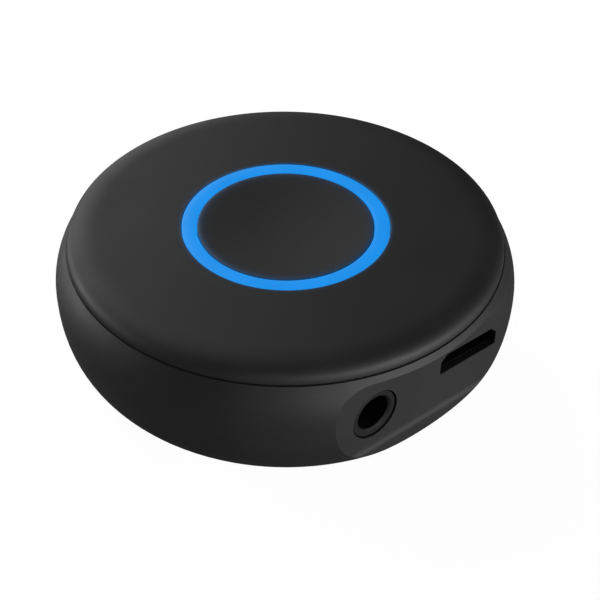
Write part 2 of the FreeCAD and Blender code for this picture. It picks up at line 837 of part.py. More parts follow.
def audio_jack_housing():
    body = box(-port_spread - jack_width / 2, -port_spread + jack_width / 2,
               jack_body_front_y, jack_back_y,
               board_under_z - jack_body_height, board_under_z)
    axis_front = Vector(-port_spread, jack_front_y(), jack_z)
    nose = rod(jack_nose_radius, axis_front, Vector(-port_spread, jack_body_front_y + 1, jack_z))
    bore = rod(jack_bore_radius, axis_front - Vector(0, 1, 0),
               Vector(-port_spread, jack_back_y + 1, jack_z))
    mouth = Part.makeCone(
        jack_bore_radius + jack_mouth_chamfer, jack_bore_radius, jack_mouth_chamfer,
        axis_front, Vector(0, 1, 0),
    )
    front, back = jack_chamber_y()
    half = jack_chamber_width / 2
    chamber = box(-port_spread - half, -port_spread + half, front, back,
                  jack_z - jack_chamber_height / 2, jack_z + jack_chamber_height / 2)
    slots = []
    for side, y in jack_spring_places().values():
        x = -port_spread + side * jack_width / 2
        slots.append(box(x - 1, x + 1, y - jack_spring_width / 2 - slip_gap,
                         y + jack_spring_width / 2 + slip_gap,
                         jack_z - jack_chamber_height / 4, jack_z + jack_chamber_height / 4))
    return fused([body, nose]).cut([bore, mouth, chamber] + slots)


def jack_spring(name):
    """A strip that runs along the chamber's wall, bends in to the plug, and leaves by a side slot."""
    side, y = jack_spring_places()[name]
    bore_x = -port_spread
    wall_x = jack_chamber_width / 2 - slip_gap
    tip_x = jack_bore_radius - jack_spring_reach
    half_tall = jack_spring_width / 2
    sheet = jack_spring_sheet
    run = 0.9
    centre = [
        (wall_x - sheet, y - run),
        (tip_x, y - 0.1),
        (tip_x, y + 0.1),
        (wall_x - sheet, y + run),
    ]
    outer = [(x + sheet, yy) for x, yy in reversed(centre)]
    strip = extruded(
        [Vector(bore_x + side * x, yy, jack_z - half_tall) for x, yy in centre + outer],
        Vector(0, 0, 2 * half_tall),
    )
    out_x = jack_width / 2 + slip_gap + sheet
    leg_x = out_x + jack_spring_width
    foot = box(*sorted((bore_x + side * (wall_x - sheet), bore_x + side * leg_x)),
               y - sheet / 2, y + sheet / 2, jack_z - half_tall, jack_z + half_tall)
    leg = box(*sorted((bore_x + side * out_x, bore_x + side * leg_x)),
              y - sheet / 2, y + sheet / 2, jack_z - half_tall, board_under_z + jack_leg_length)
    bridge = box(*sorted((bore_x + side * (wall_x - sheet), bore_x + side * wall_x)),
                 y - run, y + run, jack_z - half_tall, jack_z + half_tall)
    return fused([strip, bridge, foot, leg])


# ---- USB socket ----------------------------------------------------------------------------------
def usb_tongue_z():
    """The tongue's middle: a little nearer the board than the socket's middle."""
    return usb_z + 0.15


def usb_shell():
    outer = extruded(usb_outline(usb_width, usb_height, usb_corner, usb_front_y), Vector(0, usb_length, 0))
    inner_size = (usb_width - 2 * usb_sheet, usb_height - 2 * usb_sheet, usb_corner)
    inner = extruded(usb_outline(*inner_size, usb_front_y - 1), Vector(0, usb_length + 2, 0))
    legs = [
        box(port_spread + side * usb_width / 2 - (usb_sheet if side > 0 else 0),
            port_spread + side * usb_width / 2 + (0 if side > 0 else usb_sheet),
            usb_front_y + y, usb_front_y + y + 1.0, usb_z, board_under_z)
        for side in (-1, 1) for y in (1.0, 3.4)
    ]
    return fused([outer] + legs).cut(inner)


def usb_tongue():
    """The insulator: a block that closes the socket's back, with the tongue in front of it."""
    back_y = usb_front_y + usb_length
    inner_size = (usb_width - 2 * usb_sheet, usb_height - 2 * usb_sheet, usb_corner)
    block_y = back_y - usb_back_wall
    rear = extruded(usb_outline(*inner_size, block_y), Vector(0, usb_back_wall, 0))
    half = usb_tongue_width / 2
    z = usb_tongue_z()
    tongue = box(port_spread - half, port_spread + half, block_y - usb_tongue_length, block_y,
                 z - usb_tongue_thickness / 2, z + usb_tongue_thickness / 2)
    return fused([rear, tongue]).cut([usb_contact_room(n, block_y, back_y) for n in range(5)])


def usb_contact_x(n):
    return port_spread + (n - 2) * usb_contact_pitch


def usb_contact_room(n, block_y, back_y):
    """The path of one contact through the insulator."""
    x = usb_contact_x(n)
    under = usb_tongue_z() - usb_tongue_thickness / 2
    return box(x - usb_contact_width / 2, x + usb_contact_width / 2, block_y, back_y,
               under - usb_contact_thickness, under)


def usb_contacts():
    """Five strips along the tongue's underside, out through the back and up to the board."""
    back_y = usb_front_y + usb_length
    block_y = back_y - usb_back_wall
    under = usb_tongue_z() - usb_tongue_thickness / 2
    thick = usb_contact_thickness
    contacts = []
    for n in range(5):
        x = usb_contact_x(n)
        half = usb_contact_width / 2
        strip = box(x - half, x + half, block_y - usb_tongue_length + 0.4, back_y + thick,
                    under - thick, under)
        riser = box(x - half, x + half, back_y, back_y + thick, under - thick, board_under_z)
        tail = box(x - half, x + half, back_y, back_y + usb_contact_tail,
                   board_under_z - thick, board_under_z)
        contacts.append(fused([strip, riser, tail]))
    return Part.makeCompound(contacts)


# ---- Battery -------------------------------------------------------------------------------------
def battery_cell():
    """A flat pouch cell with rounded long edges."""
    cell = block(0, battery_y, battery_z, battery_length, battery_width, battery_thickness)
    long_edges = [e for e in cell.Edges if abs(e.tangentAt(e.FirstParameter).x) > 0.9]
    return cell.makeFillet(battery_round, long_edges)


def battery_tape():
    margin = 2 * battery_tape_margin
    return block(0, battery_y, floor_z, battery_length - margin, battery_width - margin,
                 battery_tape_thickness)


def guard_x():
    return battery_length / 2 + seat_gap


def battery_protection_board():
    """A small board on edge at the cell's end, with two chips on its outer face."""
    z = battery_z + (battery_thickness - guard_height) / 2
    x = guard_x()
    board = box(x, x + guard_thickness, battery_y - guard_length / 2, battery_y + guard_length / 2,
                z, z + guard_height)
    chips = [
        box(x + guard_thickness, x + guard_thickness + 0.6, y - 0.9, y + 0.9, z + 0.5, z + 1.9)
        for y in (battery_y - 4.2, battery_y - 1.2)
    ]
    return fused([board] + chips)


def battery_lead(side):
    """A round lead: out of the guard board, one bend, and up to the main board."""
    x = guard_x() + guard_thickness
    y = battery_y + lead_shift + side * lead_spread / 2
    z = battery_z + battery_thickness / 2
    corner = Vector(x + lead_reach, y, z)
    bend_radius = 0.45 * lead_reach
    start, end = Vector(x, y, z), Vector(corner.x, y, board_under_z)
    before = corner - Vector(bend_radius, 0, 0)
    after = corner + Vector(0, 0, bend_radius)
    half = bend_radius * (1 - math.sqrt(0.5))
    middle = corner + Vector(-half, 0, half)
    path = Part.Wire([
        Part.LineSegment(start, before).toShape(),
        Part.Arc(before, middle, after).toShape(),
        Part.LineSegment(after, end).toShape(),
    ])
    section = Part.Wire(Part.makeCircle(lead_radius, start, Vector(1, 0, 0)))
    lead = path.makePipeShell([section], True, True)
    length = path.Length
    print(f"battery lead: bend radius {bend_radius:.2f}, length {length:.2f}, "
          f"volume {lead.Volume:.3f} against {math.pi * lead_radius**2 * length:.3f}")
    return lead


# ---- Build ---------------------------------------------------------------------------------------
def main():
    os.makedirs("parts", exist_ok=True)
    save("bottom_shell", bottom_shell())
    save("top_cover", top_cover())
    save("rubber_foot", rubber_foot())
    save("light_ring", light_ring())
    save("ring_retainer", ring_retainer())
    save("button_cap", button_cap())
    save("switch_base", switch_base())
    save("switch_frame", switch_frame())
    save("switch_plunger", switch_plunger())
    save("switch_dome", switch_dome())
    save("switch_terminals", switch_terminals())
    save("main_board", main_board())
    save("board_screws", board_screws())
    save("ring_leds", ring_leds())
    save("bluetooth_chip", bluetooth_chip())
    save("charger_chip", charger_chip())
    save("crystal", crystal())
    save("chip_antenna", chip_antenna())
    save("power_inductor", power_inductor())
    save("audio_capacitors", audio_capacitors())
    save("chip_capacitors", chip_capacitors())
    save("chip_resistors", chip_resistors())
    save("audio_jack_housing", audio_jack_housing())
    for name in jack_spring_places():
        save(name, jack_spring(name))
    save("usb_shell", usb_shell())
    save("usb_tongue", usb_tongue())
    save("usb_contacts", usb_contacts())
    save("battery_cell", battery_cell())
    save("battery_tape", battery_tape())
    save("battery_protection_board", battery_protection_board())
    save("battery_lead_red", battery_lead(1))
    save("battery_lead_black", battery_lead(-1))


main()
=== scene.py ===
# %% [markdown]
# # A small round wireless audio receiver
#
# The real object is a matt black puck, 45 mm across and 15 mm high. A glowing blue ring is set in
# its top, around a shallow dished button, and two sockets sit in a flat on its side.
#
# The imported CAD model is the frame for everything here. Its nodes give the exact places. The
# pieces that show are either those nodes with a full finish, or smooth surfaces worked out with
# numpy that take a node's place.

# %% Load the frame
import json
import math

import bpy
import numpy as np
from mathutils import Matrix, Vector


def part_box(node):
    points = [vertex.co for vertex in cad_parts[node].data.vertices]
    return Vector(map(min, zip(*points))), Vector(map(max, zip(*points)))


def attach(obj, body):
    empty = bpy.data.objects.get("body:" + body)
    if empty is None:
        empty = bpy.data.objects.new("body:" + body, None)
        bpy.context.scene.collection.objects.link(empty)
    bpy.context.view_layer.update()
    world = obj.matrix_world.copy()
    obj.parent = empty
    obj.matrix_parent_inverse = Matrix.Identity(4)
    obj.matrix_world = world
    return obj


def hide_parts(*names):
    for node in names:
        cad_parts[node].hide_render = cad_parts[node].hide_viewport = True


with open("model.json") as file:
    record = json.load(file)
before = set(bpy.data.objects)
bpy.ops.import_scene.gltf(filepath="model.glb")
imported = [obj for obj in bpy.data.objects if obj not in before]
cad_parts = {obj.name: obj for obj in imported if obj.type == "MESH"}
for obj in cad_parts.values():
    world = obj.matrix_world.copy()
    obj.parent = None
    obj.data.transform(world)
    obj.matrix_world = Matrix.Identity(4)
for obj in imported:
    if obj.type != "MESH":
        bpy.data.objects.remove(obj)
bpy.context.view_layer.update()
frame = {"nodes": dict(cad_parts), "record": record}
nodes = frame["nodes"]
MM = 0.001

# %% [markdown]
# ## The camera
#
# A long lens, about 145 mm away, looks down at 40 degrees from the left of the port flat. That
# keeps both the ring and the two sockets in sight. The camera could be turned with Euler angles,
# but a matrix of its own three axes says plainly which way is right, up and back.

# %% Camera
scene = bpy.context.scene
scene.view_settings.view_transform = "Standard"

CAMERA_AZIMUTH = math.radians(-40.0)
CAMERA_ELEVATION = math.radians(40.0)
CAMERA_ROLL = math.radians(0.985)
CAMERA_DISTANCE = 145.5 * MM
CAMERA_LENS = 86.67
AIM_RIGHT = 1.483 * MM
AIM_HEIGHT = 5.363 * MM


def add_camera():
    """A camera whose matrix columns are its axes. Azimuth 0 looks along +Y."""
    azimuth, elevation, roll = CAMERA_AZIMUTH, CAMERA_ELEVATION, CAMERA_ROLL
    level = Vector((math.cos(azimuth), math.sin(azimuth), 0.0))
    back = Vector((
        math.sin(azimuth) * math.cos(elevation),
        -math.cos(azimuth) * math.cos(elevation),
        math.sin(elevation),
    ))
    upright = back.cross(level)
    right = math.cos(roll) * level + math.sin(roll) * upright
    up = math.cos(roll) * upright - math.sin(roll) * level
    place = level * AIM_RIGHT + Vector((0, 0, AIM_HEIGHT)) + back * CAMERA_DISTANCE
    data = bpy.data.cameras.new("camera")
    data.lens = CAMERA_LENS
    data.sensor_width = 36.0
    data.clip_start = 0.005
    camera = bpy.data.objects.new("camera", data)
    scene.collection.objects.link(camera)
    camera.matrix_world = Matrix((right, up, back)).transposed().to_4x4()
    camera.location = place
    scene.camera = camera
    return camera


camera = add_camera()
print("camera at, mm:", [round(v / MM, 1) for v in camera.location])

# %% [markdown]
# ## Short ways to write a node tree
#
# Every finish here is a tree of shader nodes, because image textures would tie it to one size and
# one layout. Written out in full, a tree is long and hard to read, so a few helpers take up what
# repeats: adding a node with its values, linking sockets, and doing one sum.

# %% Node helpers
def put(tree, kind, settings=None, **values):
    """A new node: settings are its own properties, values are set on the inputs they name."""
    node = tree.nodes.new(kind)
    for key, value in (settings or {}).items():
        setattr(node, key, value)
    for key, value in values.items():
        set_or_link(tree, value, node.inputs[key.replace("_", " ")])
    return node


def set_or_link(tree, value, socket):
    """Gives an input a plain value, or links an output to it."""
    if isinstance(value, bpy.types.NodeSocket):
        tree.links.new(value, socket)
    else:
        socket.default_value = value


def sum_of(tree, operation, first, second=0.0, clamp=False):
    """One Math node on outputs or plain numbers. Gives its output."""
    node = put(tree, "ShaderNodeMath", {"operation": operation, "use_clamp": clamp})
    set_or_link(tree, first, node.inputs[0])
    set_or_link(tree, second, node.inputs[1])
    return node.outputs[0]


def remap(tree, value, low, high, to_low=0.0, to_high=1.0, smooth=False):
    """Values from low to high become to_low to to_high, held at both ends."""
    kind = "SMOOTHSTEP" if smooth else "LINEAR"
    node = put(tree, "ShaderNodeMapRange", {"interpolation_type": kind})
    for n, number in enumerate((value, low, high, to_low, to_high)):
        set_or_link(tree, number, node.inputs[n])
    return node.outputs["Result"]


def mix_color(tree, factor, first, second, blend="MIX"):
    """One colour mixed into another."""
    node = put(tree, "ShaderNodeMix", {"data_type": "RGBA", "blend_type": blend})
    # A Mix node lists its float and vector sockets first: 6 and 7 are its two colours.
    for n, value in ((0, factor), (6, first), (7, second)):
        if isinstance(value, tuple):
            value = (*value, 1.0)
        set_or_link(tree, value, node.inputs[n])
    return node.outputs[2]


def noise(tree, size, detail=2.0, stretch=(1, 1, 1), **values):
    """Noise whose lumps are about `size` across, on Object coordinates."""
    coords = put(tree, "ShaderNodeTexCoord")
    mapping = put(tree, "ShaderNodeMapping", Vector=coords.outputs["Object"], Scale=stretch)
    scale = sum_of(tree, "DIVIDE", 1.0, size)
    texture = put(tree, "ShaderNodeTexNoise", Vector=mapping.outputs["Vector"], Scale=scale,
                  Detail=detail, **values)
    return texture.outputs["Fac"]


print("node helpers: put, set_or_link, sum_of, remap, mix_color, noise")

# %% [markdown]
# ## Groups and materials
#
# A shader group works like a small tool with labelled inputs and outputs. It is built once, and
# each material that uses it sets its own values. The nodes could be copied into every material, but
# then a change has to be made many times. Each material here starts from one Principled shader, and
# what is the same all over its surface is set on the shader itself.

# %% Group and material helpers
SOCKETS = {"float": "NodeSocketFloat", "color": "NodeSocketColor"}


def axes(tree):
    """The X, Y and Z of a point, on Object coordinates."""
    coords = put(tree, "ShaderNodeTexCoord")
    return put(tree, "ShaderNodeSeparateXYZ", Vector=coords.outputs["Object"]).outputs


def start_group(name, inputs, outputs):
    """An empty shader group.

    Inputs map a name to its kind and value, and outputs map a name to its kind.
    """
    group = bpy.data.node_groups.new(name, "ShaderNodeTree")
    for label, (kind, value) in inputs.items():
        socket = group.interface.new_socket(label, in_out="INPUT", socket_type=SOCKETS[kind])
        socket.default_value = value
    for label, kind in outputs.items():
        group.interface.new_socket(label, in_out="OUTPUT", socket_type=SOCKETS[kind])
    given = group.nodes.new("NodeGroupInput").outputs
    result = group.nodes.new("NodeGroupOutput").inputs
    return group, given, result


def effect(tree, group, **values):
    """A group placed in a material with its own values. Gives its outputs."""
    return put(tree, "ShaderNodeGroup", {"node_tree": group}, **values).outputs


def start_material(name, color, **values):
    """A material with one Principled shader, whose plain values are set on its own sockets."""
    material = bpy.data.materials.new(name)
    material.use_nodes = True
    tree = material.node_tree
    shader = tree.nodes["Principled BSDF"].inputs
    shader["Base Color"].default_value = (*color, 1.0)
    for key, value in values.items():
        shader[key.replace("_", " ")].default_value = value
    material.diffuse_color = (*color, 1.0)
    return material, tree, shader


def wire(tree, shader, **outputs):
    """Links outputs to the shader's inputs that they name, such as Base_Color."""
    for key, output in outputs.items():
        tree.links.new(output, shader[key.replace("_", " ")])


print("group sockets:", list(SOCKETS))

# %% [markdown]
# ## Effects that several finishes share
#
# Moulded parts have the same few small faults, and they are what makes a render look real: the
# fine texture of a spark-eroded mould, slow changes of gloss where fingers have been, and some
# settled dust. Noise at three scales gives all of them. Each is a node group, so that the black
# case, the rubber foot and the chips can share it.

# %% Mould texture, gloss changes and dust
COARSE_TO_FINE = 3.2
PATCH_LOW, PATCH_HIGH = 0.3, 0.7      # the band of the noise that the patches spread over
SPECK_BAR, SPECK_EDGE = 0.86, 0.05    # how rare the dust specks are, and how soft

mould_texture, given, result = start_group(
    "mould_texture", {"Cell": ("float", 0.1 * MM), "Clumping": ("float", 0.5)}, {"Height": "float"}
)
fine = noise(mould_texture, given["Cell"])
coarse_cell = sum_of(mould_texture, "MULTIPLY", given["Cell"], COARSE_TO_FINE)
coarse = noise(mould_texture, coarse_cell, detail=1.0)
clumps = sum_of(mould_texture, "MULTIPLY", coarse, given["Clumping"])
mould_texture.links.new(sum_of(mould_texture, "ADD", fine, clumps), result["Height"])

handling, given, result = start_group(
    "handling",
    {"Patch": ("float", 6 * MM), "Low": ("float", 0.4), "High": ("float", 0.5)},
    {"Roughness": "float", "Shade": "float"},
)
patches = noise(handling, given["Patch"], detail=4.0, Roughness=0.55, Distortion=0.4)
gloss = remap(handling, patches, PATCH_LOW, PATCH_HIGH, given["Low"], given["High"])
shade = remap(handling, patches, PATCH_LOW, PATCH_HIGH, 0.92, 1.08)
handling.links.new(gloss, result["Roughness"])
handling.links.new(shade, result["Shade"])

dust, given, result = start_group(
    "dust", {"Speck": ("float", 0.25 * MM), "Amount": ("float", 0.1)}, {"Mask": "float"}
)
specks = noise(dust, given["Speck"], detail=0.0)
areas = noise(dust, 5 * MM, detail=2.0)
bar = sum_of(dust, "SUBTRACT", SPECK_BAR, sum_of(dust, "MULTIPLY", given["Amount"], areas))
mask = remap(dust, specks, bar, sum_of(dust, "ADD", bar, SPECK_EDGE))
dust.links.new(mask, result["Mask"])
print("groups:", mould_texture.name, handling.name, dust.name)

# %% [markdown]
# ## Painted shade in the ports
#
# The walls of a socket get darker the deeper they lie, because little light finds its way in.
# Bounced light alone would do that in a very deep hole, but here the walls are short, and the
# openings have to read as black at a glance. So the shade is painted: a group makes a mask from
# three facts about a point: it is inside one of the two openings, on the port side of the case,
# and below the flat. The finishes darken the walls towards black by that mask.

# %% Painted port shade
NOSE_RECESS = 0.15 * MM
jack_low, jack_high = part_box("audio_jack_housing")
usb_low, usb_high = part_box("usb_shell")
FLAT_Y = jack_low[1] - NOSE_RECESS
JACK_X, JACK_Z = (jack_low[0] + jack_high[0]) / 2, (jack_low[2] + jack_high[2]) / 2
USB_X, USB_Z = (usb_low[0] + usb_high[0]) / 2, (usb_low[2] + usb_high[2]) / 2
JACK_HOLE = 2.65 * MM
USB_HALF_WIDTH, USB_HALF_HEIGHT = 3.7 * MM, 1.3 * MM

port_shade, given, result = start_group(
    "port_shade", {"Start": ("float", 0.1 * MM), "End": ("float", 0.6 * MM)}, {"Mask": "float"}
)
apart = axes(port_shade)


def off(axis, middle):
    """How far a point lies from a middle along one axis."""
    signed = sum_of(port_shade, "SUBTRACT", apart[axis], middle)
    return sum_of(port_shade, "ABSOLUTE", signed)


jack_dx, jack_dz = off("X", JACK_X), off("Z", JACK_Z)
squares = [sum_of(port_shade, "MULTIPLY", d, d) for d in (jack_dx, jack_dz)]
from_axis = sum_of(port_shade, "SQRT", sum_of(port_shade, "ADD", *squares))
in_jack = sum_of(port_shade, "LESS_THAN", from_axis, JACK_HOLE)
in_usb = sum_of(port_shade, "MULTIPLY",
                sum_of(port_shade, "LESS_THAN", off("X", USB_X), USB_HALF_WIDTH),
                sum_of(port_shade, "LESS_THAN", off("Z", USB_Z), USB_HALF_HEIGHT))
below_flat = sum_of(port_shade, "SUBTRACT", apart["Y"], FLAT_Y)
deep = remap(port_shade, below_flat, given["Start"], given["End"])
# Only the half of the case on the port side counts, or the ports would show on the far side too.
port_side = sum_of(port_shade, "LESS_THAN", apart["Y"], 0.0)
in_port = sum_of(port_shade, "MULTIPLY", sum_of(port_shade, "MAXIMUM", in_jack, in_usb), port_side)
port_shade.links.new(sum_of(port_shade, "MULTIPLY", in_port, deep), result["Mask"])
print("flat at y", round(FLAT_Y / MM, 2), "jack at", round(JACK_X / MM, 2), round(JACK_Z / MM, 2),
      "USB at", round(USB_X / MM, 2), round(USB_Z / MM, 2), "mm")

# %% [markdown]
# ## Light that leaks from the ring
#
# On the real object the blue light spills about a millimetre onto the black plastic on both sides
# of the ring. Tracing that light through a translucent body would be slow and noisy. Its result is
# simple, though: it falls off evenly with the distance from the ring, so the plastic's own finish
# can carry it as a faint emission. The group measures the distance from the Z axis, and two
# exponential curves do the rest.

# %% Ring glow
ring_low, ring_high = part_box("light_ring")
cap_low, cap_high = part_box("button_cap")
RING_FLANGE_WIDTH = 1.15 * MM
BUTTON_FLANGE_WIDTH = 0.7 * MM
BUTTON_GAP = 0.1 * MM
RING_OUTER = ring_high[0] - RING_FLANGE_WIDTH
RING_INNER = cap_high[0] - BUTTON_FLANGE_WIDTH + BUTTON_GAP
RING_BLUE = (0.01, 0.261, 0.755)
GLOW_FROM_Z, GLOW_FULL_Z = 13.8 * MM, 14.3 * MM     # nothing glows inside the case

ring_glow, given, result = start_group(
    "ring_glow",
    {
        "Inner Reach": ("float", 0.28 * MM),
        "Outer Reach": ("float", 0.14 * MM),
        "Level": ("float", 0.2),
    },
    {"Color": "color"},
)
apart = axes(ring_glow)
flat = put(ring_glow, "ShaderNodeCombineXYZ", X=apart["X"], Y=apart["Y"])
length = put(ring_glow, "ShaderNodeVectorMath", {"operation": "LENGTH"},
             Vector=flat.outputs["Vector"])
radius = length.outputs["Value"]


def fall_off(tree, distance, reach):
    """e to the power of minus distance over reach, with the distance never under zero."""
    away = sum_of(tree, "MAXIMUM", distance, 0.0)
    power = sum_of(tree, "MULTIPLY", sum_of(tree, "DIVIDE", away, reach), -1.0)
    return sum_of(tree, "POWER", math.e, power)


to_inside = sum_of(ring_glow, "SUBTRACT", RING_INNER, radius)
to_outside = sum_of(ring_glow, "SUBTRACT", radius, RING_OUTER)
inside = fall_off(ring_glow, to_inside, given["Inner Reach"])
outside = fall_off(ring_glow, to_outside, given["Outer Reach"])
both = sum_of(ring_glow, "MULTIPLY", sum_of(ring_glow, "MULTIPLY", inside, outside), given["Level"])
above = remap(ring_glow, apart["Z"], GLOW_FROM_Z, GLOW_FULL_Z)
lit = sum_of(ring_glow, "MULTIPLY", both, above)
blue = put(ring_glow, "ShaderNodeVectorMath", {"operation": "SCALE"}, Vector=RING_BLUE, Scale=lit)
ring_glow.links.new(blue.outputs["Vector"], result["Color"])
print("glow starts at radii", round(RING_INNER / MM, 2), "and", round(RING_OUTER / MM, 2), "mm")

# %% [markdown]
# ## Black plastic
#
# The case is moulded in black plastic with a fine matt texture. Black plastic is never quite
# black: about two percent of the light comes back from just under the surface, and a broad soft
# sheen lies over it. One function makes each black part, with its own tint and gloss.

# %% Black plastics
FLAT_BEND_Z = 3.9 * MM
BEND_REACH = 0.7 * MM
ON_FLAT = 0.12 * MM
DUST_GREY = (0.04, 0.039, 0.038)
BEND_HIGHLIGHT_GREY = (0.06, 0.06, 0.06)
PORT_SHADE_BLACK = (0.001, 0.001, 0.001)


def highlight_band_mask(tree):
    """1 along the soft bend near the port flat's lower edge, the band of a painted highlight."""
    apart = axes(tree)
    from_bend = sum_of(tree, "SUBTRACT", apart["Z"], FLAT_BEND_Z)
    near = remap(tree, sum_of(tree, "ABSOLUTE", from_bend), BEND_REACH, 0.0, smooth=True)
    from_flat = sum_of(tree, "SUBTRACT", apart["Y"], FLAT_Y)
    on_flat = sum_of(tree, "LESS_THAN", sum_of(tree, "ABSOLUTE", from_flat), ON_FLAT)
    return sum_of(tree, "MULTIPLY", near, on_flat)


def black_plastic(name, tint, gloss, texture_cell, texture_depth, dusty=0.0, glow=0.0,
                  bend_highlight=0.0, shaded_ports=False):
    """Matt black moulded plastic. `gloss` is its lowest and highest roughness.

    `dusty` is how much dust has settled, and `glow` how strongly the ring lights it. The next two
    arguments paint light and shade: the first lightens the flat's bend, a painted highlight, and the
    second darkens the walls of the two openings, painted shade.
    """
    material, tree, shader = start_material(name, (tint, tint, tint), IOR=1.5)
    touch = effect(tree, handling, Patch=7 * MM, Low=gloss[0], High=gloss[1])
    grain = effect(tree, mould_texture, Cell=texture_cell, Clumping=0.6)
    bump = put(tree, "ShaderNodeBump", Strength=0.3, Distance=texture_depth, Height=grain["Height"])
    color = mix_color(tree, 1.0, (tint, tint, tint * 1.02), touch["Shade"], "MULTIPLY")
    if dusty:
        settled = effect(tree, dust, Amount=dusty)
        color = mix_color(tree, settled["Mask"], color, DUST_GREY)
    # Painted highlight: the flat's lower bend is lightened towards grey.
    if bend_highlight:
        painted_highlight = sum_of(tree, "MULTIPLY", highlight_band_mask(tree), bend_highlight)
        color = mix_color(tree, painted_highlight, color, BEND_HIGHLIGHT_GREY)
    # Painted shade: the walls of the two openings are darkened towards black the deeper they lie.
    if shaded_ports:
        deep = effect(tree, port_shade, Start=0.02 * MM, End=0.2 * MM)["Mask"]
        color = mix_color(tree, deep, color, PORT_SHADE_BLACK)
    wire(tree, shader, Base_Color=color, Roughness=touch["Roughness"], Normal=bump.outputs["Normal"])
    if glow:
        wire(tree, shader, Emission_Color=effect(tree, ring_glow, Level=glow)["Color"])
        shader["Emission Strength"].default_value = 1.0
    return material


TINT, DUSTY = 0.018, 0.05
case_black = black_plastic("case_black", TINT, (0.56, 0.64), 0.12 * MM, 0.01 * MM, DUSTY,
                           bend_highlight=0.8, shaded_ports=True)
cover_black = black_plastic("cover_black", TINT, (0.56, 0.64), 0.12 * MM, 0.01 * MM, DUSTY,
                            glow=0.2)
button_black = black_plastic("button_black", TINT, (0.52, 0.6), 0.1 * MM, 0.008 * MM, DUSTY,
                             glow=0.22)
print("black plastics:", case_black.name, cover_black.name, button_black.name)

# %% [markdown]
# ## The diffuser
#
# The ring is milky plastic with a row of blue diodes behind it. Lit, it hides all that behind one
# even colour, so a plain emission over a dark satin body gives the same look, with a very slight
# brightening above each of the eight diodes.

# %% Ring blue
LED_COUNT = 8
LEAST_LIT, MOST_LIT = 0.98, 1.03

ring_lit, tree, shader = start_material(
    "ring_lit", (0.004, 0.05, 0.2), Roughness=0.5, Emission_Strength=1.0, Specular_IOR_Level=0.15
)
apart = axes(tree)
angle = sum_of(tree, "ARCTAN2", apart["Y"], apart["X"])
from_diode = sum_of(tree, "SUBTRACT", angle, math.pi / LED_COUNT)
spots = sum_of(tree, "COSINE", sum_of(tree, "MULTIPLY", from_diode, LED_COUNT))
uneven = remap(tree, spots, -1.0, 1.0, LEAST_LIT, MOST_LIT)
light = mix_color(tree, 1.0, RING_BLUE, uneven, "MULTIPLY")
soft = effect(tree, handling, Patch=3 * MM, Low=0.42, High=0.52)
wire(tree, shader, Emission_Color=light, Roughness=soft["Roughness"])
print("ring:", ring_lit.name, "with", LED_COUNT, "brighter places")

# %% [markdown]
# ## The finishes inside
#
# The case hides a circuit board, a cell and two sockets. They are only seen when someone opens the
# model up, and then each has to read as its own stuff at once: lacquered board, plated metal, fired
# ceramic, foil. The metals differ only in tint and polish, so one function makes them all. Fine
# lines along the rolled sheet and a slow tarnish keep them from looking like a plain mirror.

# %% Metals
def metal(name, tint, gloss, drawn=(1, 1, 1), tarnish=0.85):
    """Plated metal. `drawn` stretches the fine lines along the way the sheet was rolled."""
    material, tree, shader = start_material(name, tint, Metallic=1.0)
    touch = effect(tree, handling, Patch=1.5 * MM, Low=gloss[0], High=gloss[1])
    lines = noise(tree, 0.06 * MM, detail=3.0, stretch=drawn)
    dulled = remap(tree, noise(tree, 0.9 * MM, detail=3.0), 0.35, 0.65, tarnish, 1.0)
    bump = put(tree, "ShaderNodeBump", Strength=0.25, Distance=0.003 * MM, Height=lines)
    color = mix_color(tree, 1.0, tint, dulled, "MULTIPLY")
    wire(tree, shader, Base_Color=color, Roughness=touch["Roughness"], Normal=bump.outputs["Normal"])
    return material


tin_plate = metal("tin_plate", (0.55, 0.55, 0.53), (0.25, 0.42), drawn=(0.08, 1, 1))
# Near-black metal for the USB shell: painted shade that keeps its slot black.
slot_shade_metal = metal("slot_shade_metal", (0.045, 0.044, 0.043), (0.38, 0.5), drawn=(1, 0.1, 1))
gold_flash = metal("gold_flash", (0.8, 0.56, 0.2), (0.18, 0.32), drawn=(1, 0.1, 1), tarnish=0.9)
pouch_foil = metal("pouch_foil", (0.58, 0.59, 0.61), (0.3, 0.46), tarnish=0.93)
print("metals:", tin_plate.name, slot_shade_metal.name, gold_flash.name, pouch_foil.name)

# %% [markdown]
# ## Mouldings, ceramics and rubber
#
# Everything else in there is a coloured solid: moulded plastic, a fired body, rubber, tape or a
# wire's sleeve. They could each have their own tree, but they share the same three traits, a mould
# texture, a slow change of gloss and, on the ceramics, small specks. So they are rows of values for
# one function.

# %% Mouldings
SPECK_SIZE = 1.5                          # against the texture's cell
SPECKLE_LOW, SPECKLE_HIGH = 0.62, 0.7
PALE_DUST = (0.12, 0.12, 0.115)
SOCKET_SHADE_DARK = (0.0005, 0.0005, 0.0005)


